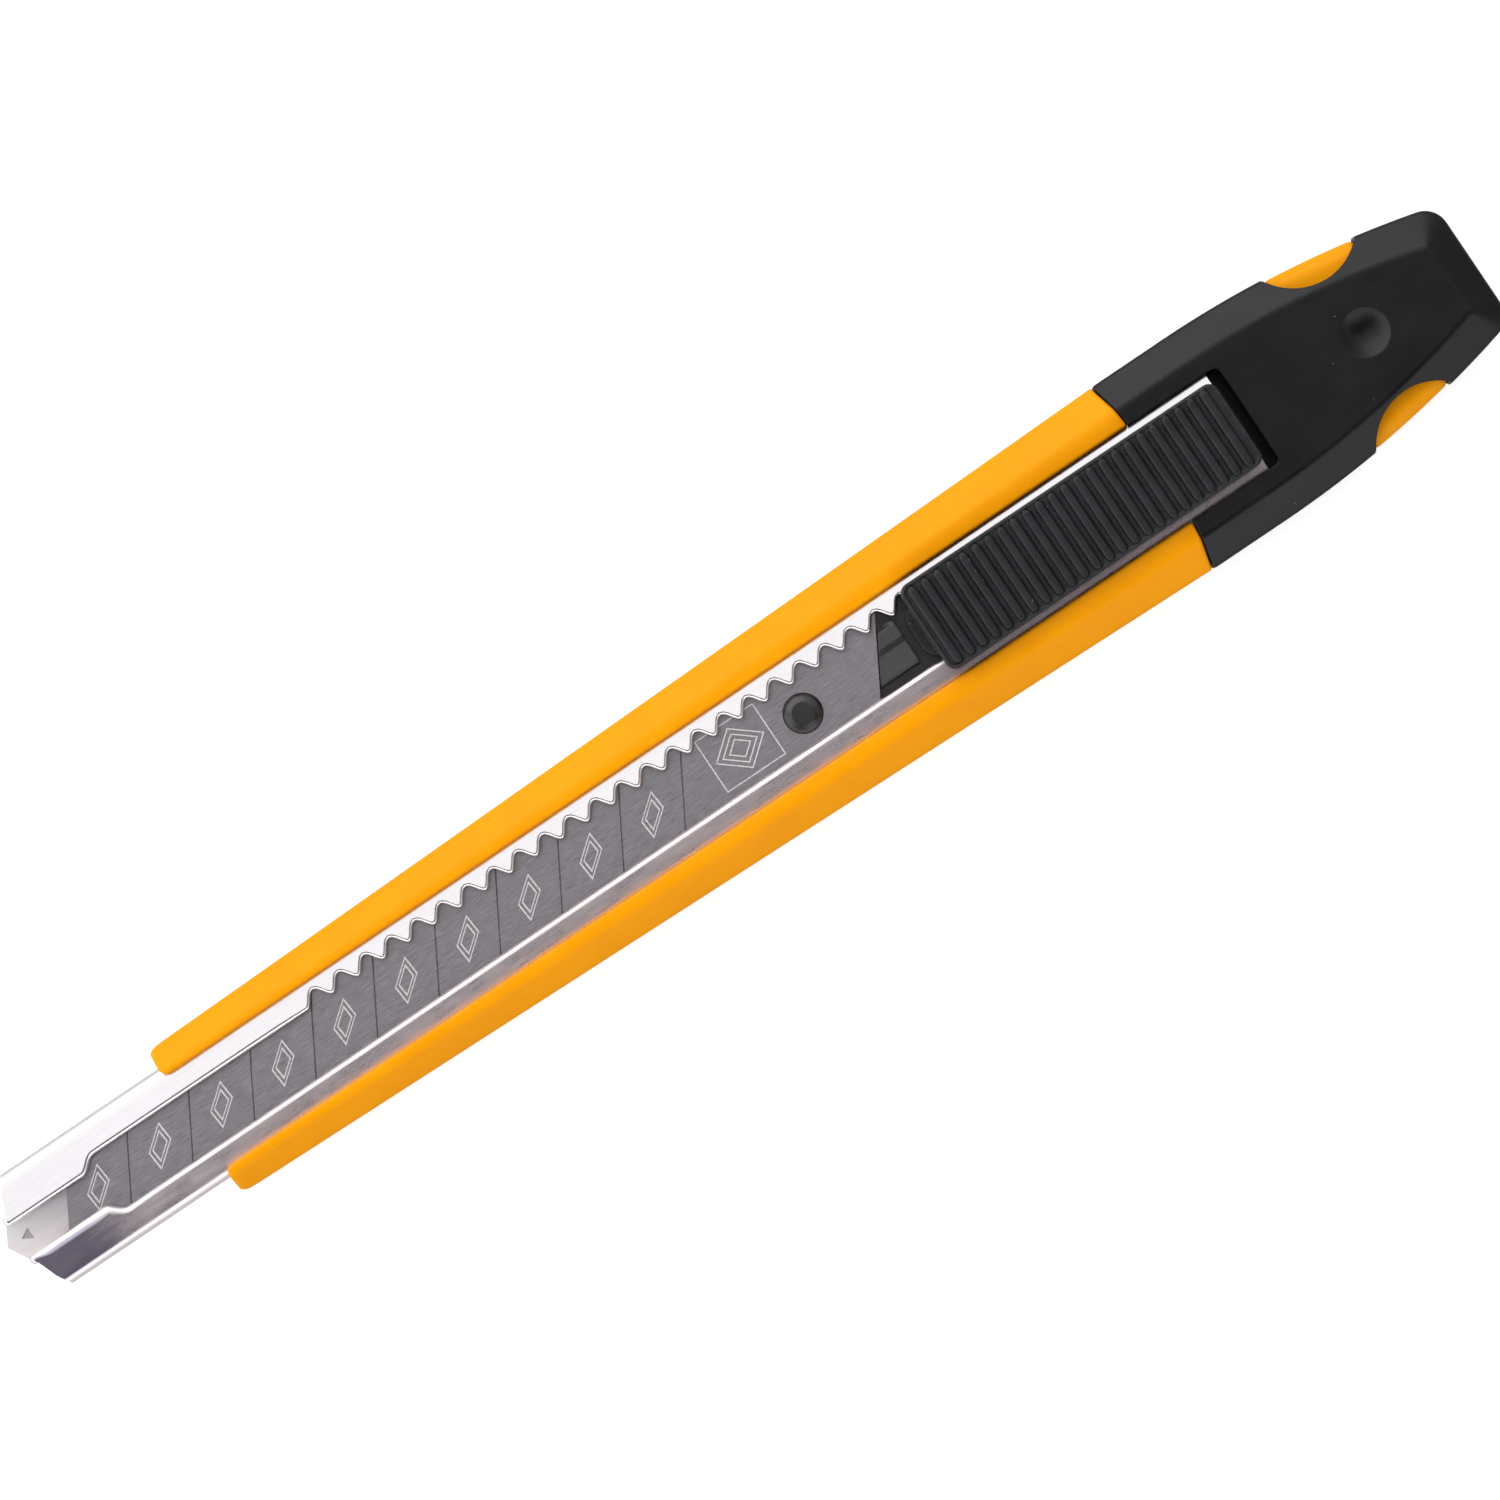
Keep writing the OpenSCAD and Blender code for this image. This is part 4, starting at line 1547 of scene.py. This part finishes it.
@dataclass
class Latch:
    """A springy finger with a press pad, on one side of the knife."""

    node: str
    body: Body
    side: int
    pivot_x: float = -47.9
    pivot_y: float = 6.45
    pivot_r: float = 0.6
    front_x: float = -56.95
    rear_x: float = -64.85
    inner_front_y: float = 5.75
    inner_rear_y: float = 4.9
    bevel: float = 0.9
    low_z: float = 1.65
    side_low_z: float = 2.4
    side_top_z: float = 4.9
    high_z: float = 5.45
    end_r: float = 0.45
    inner_fillet: float = 0.1
    low_fillet: float = 0.4
    side_fillet: float = 0.5
    below_cover: float = 0.2
    straight_w: float = 0.15
    finger_z: Point = (2.0, 5.1)
    finger_half_w: float = 0.5
    finger_end_y: float = 6.2
    sharp_deg: float = 35.0

    def section(self, x: float) -> tuple[list[Point], list[float]]:
        """The pad's section and how much each of its points takes part in the rounding of the ends.

        Args:
            x: Place along the knife.

        Returns:
            The outline across and up, and the shares.
        """
        share = (self.front_x - x) / (self.front_x - self.rear_x)
        inner = self.inner_front_y + (self.inner_rear_y - self.inner_front_y) * share
        outer = TailCover().outline(x) - self.below_cover
        bevel_y = outer - self.bevel
        corners = [(inner, self.low_z, self.inner_fillet), (bevel_y, self.low_z, self.low_fillet),
                   (outer, self.side_low_z, self.side_fillet), (outer, self.side_top_z, self.side_fillet),
                   (bevel_y, self.high_z, self.side_fillet), (inner, self.high_z, self.inner_fillet)]
        outline = filleted(corners, steps=6)
        return outline, [0.0 if y < inner + self.straight_w else 1.0 for y, _ in outline]

    def build(self, material: bpy.types.Material) -> bpy.types.Object:
        """Loft the pad, join the finger and dress the piece.

        Args:
            material: Its finish.

        Returns:
            The piece.
        """
        middle = spread(self.rear_x + self.end_r, self.front_x - self.end_r, count=14)[1:-1]
        rings = []
        for x, inset in rounded_ends(self.rear_x, self.front_x, self.end_r, middle):
            outline, shares = self.section(x)
            moved = moved_in(outline, [share * inset for share in shares])
            rings.append([Vector((x, self.side * y, z)) for y, z in moved])
        name = f"{self.node}_finished"
        piece = link(name, loft(name, rings, (1, 2)))
        end_x, half_w = self.front_x - self.finger_half_w, self.finger_half_w
        finger = [(self.pivot_x, self.pivot_y - half_w), (self.pivot_x, self.pivot_y + half_w),
                  (end_x, self.finger_end_y + half_w), (end_x, self.finger_end_y - half_w)]
        parts = [prism([(x, self.side * y) for x, y in finger], *self.finger_z),
                 prism(disc_plan(self.pivot_x, self.side * self.pivot_y, self.pivot_r), *self.finger_z)]
        combine(piece, parts, "UNION")
        finish_mesh(piece.data, self.sharp_deg)
        attach(piece, self.node, self.body, material)
        return piece


@dataclass
class ThumbSlide:
    """The ribbed button with its neck between the channel's lips."""

    front_x: float = -18.1
    rear_x: float = -48.8
    front_half_w: float = 4.05
    rear_half_w: float = 3.93
    corner_r: float = 0.9
    low_z: float = 5.9
    floor_z: float = 8.84
    rim_z: float = 8.98
    rib_z: float = 9.3
    rib_half_w: float = 0.43
    rib_half_l: float = 3.68
    rib_power: float = 4.6
    rib_count: int = 24
    rib_pitch: float = 1.237
    first_rib: float = 1.0
    edge_r: float = 0.22
    rim_w: float = 0.24
    rim_blend: float = 0.12
    least_half_w: float = 0.01
    columns: int = 380
    edge_rows: tuple[float, ...] = (0, 0.02, 0.06, 0.11, 0.17, 0.22, 0.26, 0.3, 0.34, 0.38, 0.43, 0.49,
                                    0.56, 0.65, 0.76, 0.9, 1.1)
    foot_r: float = 0.15
    foot_mid: float = 0.04
    neck_x: Point = (-48.1, -17.3)
    neck_z: Point = (4.65, 6.6)
    neck_half_w: float = 2.3
    neck_r: float = 1.2
    rail_x: Point = (-45.75, -22.25)
    rail_y: Point = (0.0, 1.4)
    rail_head_y: Point = (-0.7, 2.1)
    spring_x: Point = (-40.0, -19.8)
    spring_y: Point = (-4.0, -0.75)
    slot_z: tuple[float, ...] = (4.0, 5.9, 6.0, 6.3, 7.0)
    sharp_deg: float = 40.0

    def half_width(self, x: float) -> float:
        """Half of the button's width.

        Args:
            x: Place along the knife.

        Returns:
            Half of the width, less near the round corners.
        """
        share = (x - self.rear_x) / (self.front_x - self.rear_x)
        full = self.rear_half_w + (self.front_half_w - self.rear_half_w) * share
        into = self.corner_r - min(x - self.rear_x, self.front_x - x)
        if into <= 0:
            return full
        return full - self.corner_r + math.sqrt(max(0.0, self.corner_r ** 2 - into ** 2))

    def border(self, x: float, y: float) -> float:
        """Distance from the button's border.

        Args:
            x: Place along the knife.
            y: Place across it.

        Returns:
            The distance inwards.
        """
        share = (x - self.rear_x) / (self.front_x - self.rear_x)
        half_w = self.rear_half_w + (self.front_half_w - self.rear_half_w) * share
        to_end, to_side = min(x - self.rear_x, self.front_x - x), half_w - abs(y)
        if to_end < self.corner_r and to_side < self.corner_r:
            return self.corner_r - math.hypot(self.corner_r - to_end, self.corner_r - to_side)
        return min(to_end, to_side)

    def height(self, x: float, y: float) -> float:
        """Height of the button's top.

        Args:
            x: Place along the knife.
            y: Place across it.

        Returns:
            The height.
        """
        inwards = self.border(x, y)
        sunk = smoothstep(self.rim_w, self.rim_w + self.rim_blend, inwards)
        rim = self.rim_z - (self.rim_z - self.floor_z) * sunk
        if inwards < self.edge_r:
            rim -= self.edge_r - math.sqrt(max(0.0, self.edge_r ** 2 - (self.edge_r - inwards) ** 2))
        number = round((self.front_x - self.first_rib - x) / self.rib_pitch)
        number = min(self.rib_count - 1, max(0, number))
        along = x - (self.front_x - self.first_rib - number * self.rib_pitch)
        away = math.hypot(along, max(0.0, abs(y) - self.rib_half_l + self.rib_half_w)) / self.rib_half_w
        rib = self.floor_z + (self.rib_z - self.floor_z) * math.sqrt(max(0.0, 1 - away ** self.rib_power))
        return max(rim, rib)

    def build(self, material: bpy.types.Material) -> bpy.types.Object:
        """Shape the button, join the neck, cut the hidden slots and dress the piece.

        Args:
            material: Its finish.

        Returns:
            The piece.
        """
        piece = self.button()
        neck = prism(rounded_plan(*self.neck_x, self.neck_half_w, self.neck_r), *self.neck_z)
        combine(piece, [neck], "UNION")
        bottom, spring_top, head_low, rail_top, head_top = self.slot_z
        slots = [prism(box_plan(*self.rail_x, *self.rail_y), bottom, rail_top),
                 prism(box_plan(*self.rail_x, *self.rail_head_y), head_low, head_top),
                 prism(box_plan(*self.spring_x, *self.spring_y), bottom, spring_top)]
        combine(piece, slots, "DIFFERENCE")
        finish_mesh(piece.data, self.sharp_deg)
        attach(piece, "thumb_slide", Body.SLIDE, material)
        return piece

    def button(self) -> bpy.types.Object:
        """The button alone: its ribbed top, its sides and its flat underside.

        Returns:
            The button's object.
        """
        ends = [self.corner_r * (1 - math.cos(math.radians(a))) for a in spread(0, 90, count=10)]
        inner = spread(self.rear_x + self.corner_r, self.front_x - self.corner_r, self.columns)
        xs = [self.rear_x + e for e in ends[:-1]] + inner + [self.front_x - e for e in reversed(ends[:-1])]
        shares = [1 - row / self.rear_half_w for row in self.edge_rows]
        middle_shares = spread(shares[-1], -shares[-1], count=8)[1:-1]
        ladder = shares + middle_shares + [-share for share in reversed(shares)]
        points, faces = [], []
        across = len(ladder)
        for x in xs:
            half = max(self.half_width(x), self.least_half_w)
            points += [Vector((x, half * s, self.height(x, half * s))) for s in ladder]
        for i in range(len(xs) - 1):
            faces += [(i * across + j, (i + 1) * across + j, (i + 1) * across + j + 1, i * across + j + 1)
                      for j in range(across - 1)]
        last = (len(xs) - 1) * across
        loop = [i * across for i in range(len(xs))] + [last + j for j in range(1, across)]
        loop += [i * across + across - 1 for i in range(len(xs) - 2, -1, -1)]
        loop += list(range(across - 2, 0, -1))
        rings = [loop]
        middle = Vector(((self.front_x + self.rear_x) / 2, 0, 0))
        for z, inset in ((self.low_z + self.foot_r, 0.0), (self.low_z + self.foot_mid, self.foot_mid),
                         (self.low_z, self.foot_r)):
            ring = []
            for index in loop:
                place = points[index]
                inwards = [math.copysign(min(abs(away), 1.0), away) for away in (middle - place).to_2d()]
                ring.append(len(points))
                points.append(Vector((place.x + inwards[0] * inset, place.y + inwards[1] * inset, z)))
            rings.append(ring)
        for upper, lower in zip(rings, rings[1:]):
            count = len(upper)
            faces += [(upper[i], upper[(i + 1) % count], lower[(i + 1) % count], lower[i])
                      for i in range(count)]
        faces.append(tuple(rings[-1]))
        return link("thumb_slide_finished", mesh_from("thumb_slide_finished", points, faces))


# ------------------------------------------------------------------ studio


@dataclass(frozen=True)
class Studio:
    """The floor, the lights and the camera."""

    view_angle_deg: float = 33.93
    look_at_mm: tuple[float, float, float] = (-1.0, 0.07, 5.0)
    frame_mm: float = 122.1
    camera_height_mm: float = 800.0
    sensor_mm: float = 36.0
    card_z: float = 1.2
    card_half: float = 0.9
    card_near: float = 0.6
    sky_left: float = 2.5
    sky_right: float = 1.6
    sky_behind: float = 0.25
    sky_low: float = 0.3
    across_range: Point = (-0.8, 0.7)
    behind_range: Point = (-0.85, -0.1)
    low_range: Point = (0.03, 0.36)
    floor_glow: float = 0.7
    floor_half: float = 2.0
    floor_low_mm: float = 0.02
    floor_colour: Colour = (0.6, 0.6, 0.6)
    floor_roughness: float = 0.9
    card_colour: Colour = (0.2, 0.175, 0.195)
    card_roughness: float = 1.0
    strip_radiance: float = 0.91
    strip_far: float = -0.02
    strip_below: float = 0.01
    clip_m: float = 10.0

    def build(self) -> None:
        """Build the whole studio."""
        self.make_floor()
        self.make_lights()
        self.make_camera()

    def sheet(self, name: str, finish: str, plan: Sequence[Point], z: float, colour: Colour,
              roughness: float) -> tuple[Wires, bpy.types.Node]:
        """A flat sheet of the studio, which is not part of the knife.

        Args:
            name: The sheet's name.
            finish: Its material's name.
            plan: Its corners, in metres.
            z: Its height, in metres.
            colour: Its colour.
            roughness: Its roughness.

        Returns:
            The material's wires and its shader.
        """
        mesh = bpy.data.meshes.new(name)
        mesh.from_pydata([(x, y, 0) for x, y in plan], [], [tuple(range(len(plan)))])
        piece = link(name, mesh)
        piece.location.z = z
        material, w, shader = new_material(finish)
        shader.inputs["Base Color"].default_value = (*colour, 1)
        shader.inputs["Roughness"].default_value = roughness
        mesh.materials.append(material)
        return w, shader

    def make_floor(self) -> None:
        """A wide pale floor under the knife, which glows only for the camera itself."""
        half = self.floor_half
        w, shader = self.sheet("floor", "pale_floor", box_plan(-half, half, -half, half),
                               -self.floor_low_mm * MM, self.floor_colour, self.floor_roughness)
        shader.inputs["Emission Color"].default_value = (1, 1, 1, 1)
        seen = w.node("ShaderNodeLightPath").outputs["Is Camera Ray"]
        w.feed(shader.inputs["Emission Strength"], w.times(seen, self.floor_glow))

    def make_lights(self) -> None:
        """A bright sky that is dimmer behind the tail, a dark card overhead and a strip beside the lens."""
        world = bpy.data.worlds.new("studio")
        world.use_nodes = True
        w = Wires(world.node_tree)
        axes = w.axes(w.node("ShaderNodeTexCoord").outputs["Generated"])
        across = w.ramp(axes["Y"], *self.across_range, self.sky_left, self.sky_right)
        behind = w.ramp(axes["X"], *self.behind_range, to_low=self.sky_behind)
        low = w.ramp(axes["Z"], *self.low_range, to_low=self.sky_low)
        sky = world.node_tree.nodes["Background"]
        w.feed(sky.inputs["Strength"], w.times(low, across, behind))
        sky.inputs["Color"].default_value = (1, 1, 1, 1)
        bpy.context.scene.world = world
        self.make_strip()
        self.make_card()

    def make_card(self) -> None:
        """A dark card above the camera, which the flat and the polished faces mirror."""
        half = self.card_half
        plan = box_plan(-half, half, -self.card_near, half)
        self.sheet("dark_card", "dark_card", plan, self.card_z, self.card_colour, self.card_roughness)

    def make_strip(self) -> None:
        """A long soft box beside the lens that faces straight down."""
        light = bpy.data.lights.new("strip", "AREA")
        light.shape = "RECTANGLE"
        light.size, light.size_y = self.card_half * 2, self.strip_far + self.card_near
        light.energy = self.strip_radiance * math.pi * light.size * light.size_y
        lamp = bpy.data.objects.new("strip", light)
        lamp.location = (0, (self.strip_far - self.card_near) / 2, self.card_z - self.strip_below)
        bpy.context.scene.collection.objects.link(lamp)

    def make_camera(self) -> None:
        """A long lens straight above the knife, turned so that the tip points down to the left."""
        turn = math.radians(self.view_angle_deg)
        right = Vector((-math.cos(turn), math.sin(turn), 0))
        up = Vector((-math.sin(turn), -math.cos(turn), 0))
        camera = bpy.data.cameras.new("camera")
        camera.sensor_width = self.sensor_mm
        camera.lens = self.sensor_mm * self.camera_height_mm / self.frame_mm
        camera.clip_end = self.clip_m
        holder = bpy.data.objects.new("camera", camera)
        x, y, z = self.look_at_mm
        turned = Matrix((right, up, right.cross(up))).transposed().to_4x4()
        holder.matrix_world = Matrix.Translation(Vector((x, y, z + self.camera_height_mm)) * MM) @ turned
        bpy.context.scene.collection.objects.link(holder)
        bpy.context.scene.camera = holder
        bpy.context.scene.view_settings.view_transform = "Standard"


def main() -> None:
    """Dress the knife and build its studio."""
    logging.basicConfig(level=logging.INFO, format="%(message)s")
    Studio().build()
    finishes = Finishes.build()
    Channel().build(finishes.bright_steel)
    ThumbSlide().build(finishes.slide_plastic)
    Handle().build(finishes.orange_plastic)
    TailCover().build(finishes.cover_plastic)
    Latch("latch_left", Body.LEFT_LATCH, 1).build(finishes.orange_plastic)
    Latch("latch_right", Body.RIGHT_LATCH, -1).build(finishes.orange_plastic)
    dress_node("blade_carrier", finishes.carrier_plastic)
    dress_node("blade", finishes.blade_steel)
    dress_node("lock_spring", finishes.spring_steel)


if __name__ == "__main__":
    main()
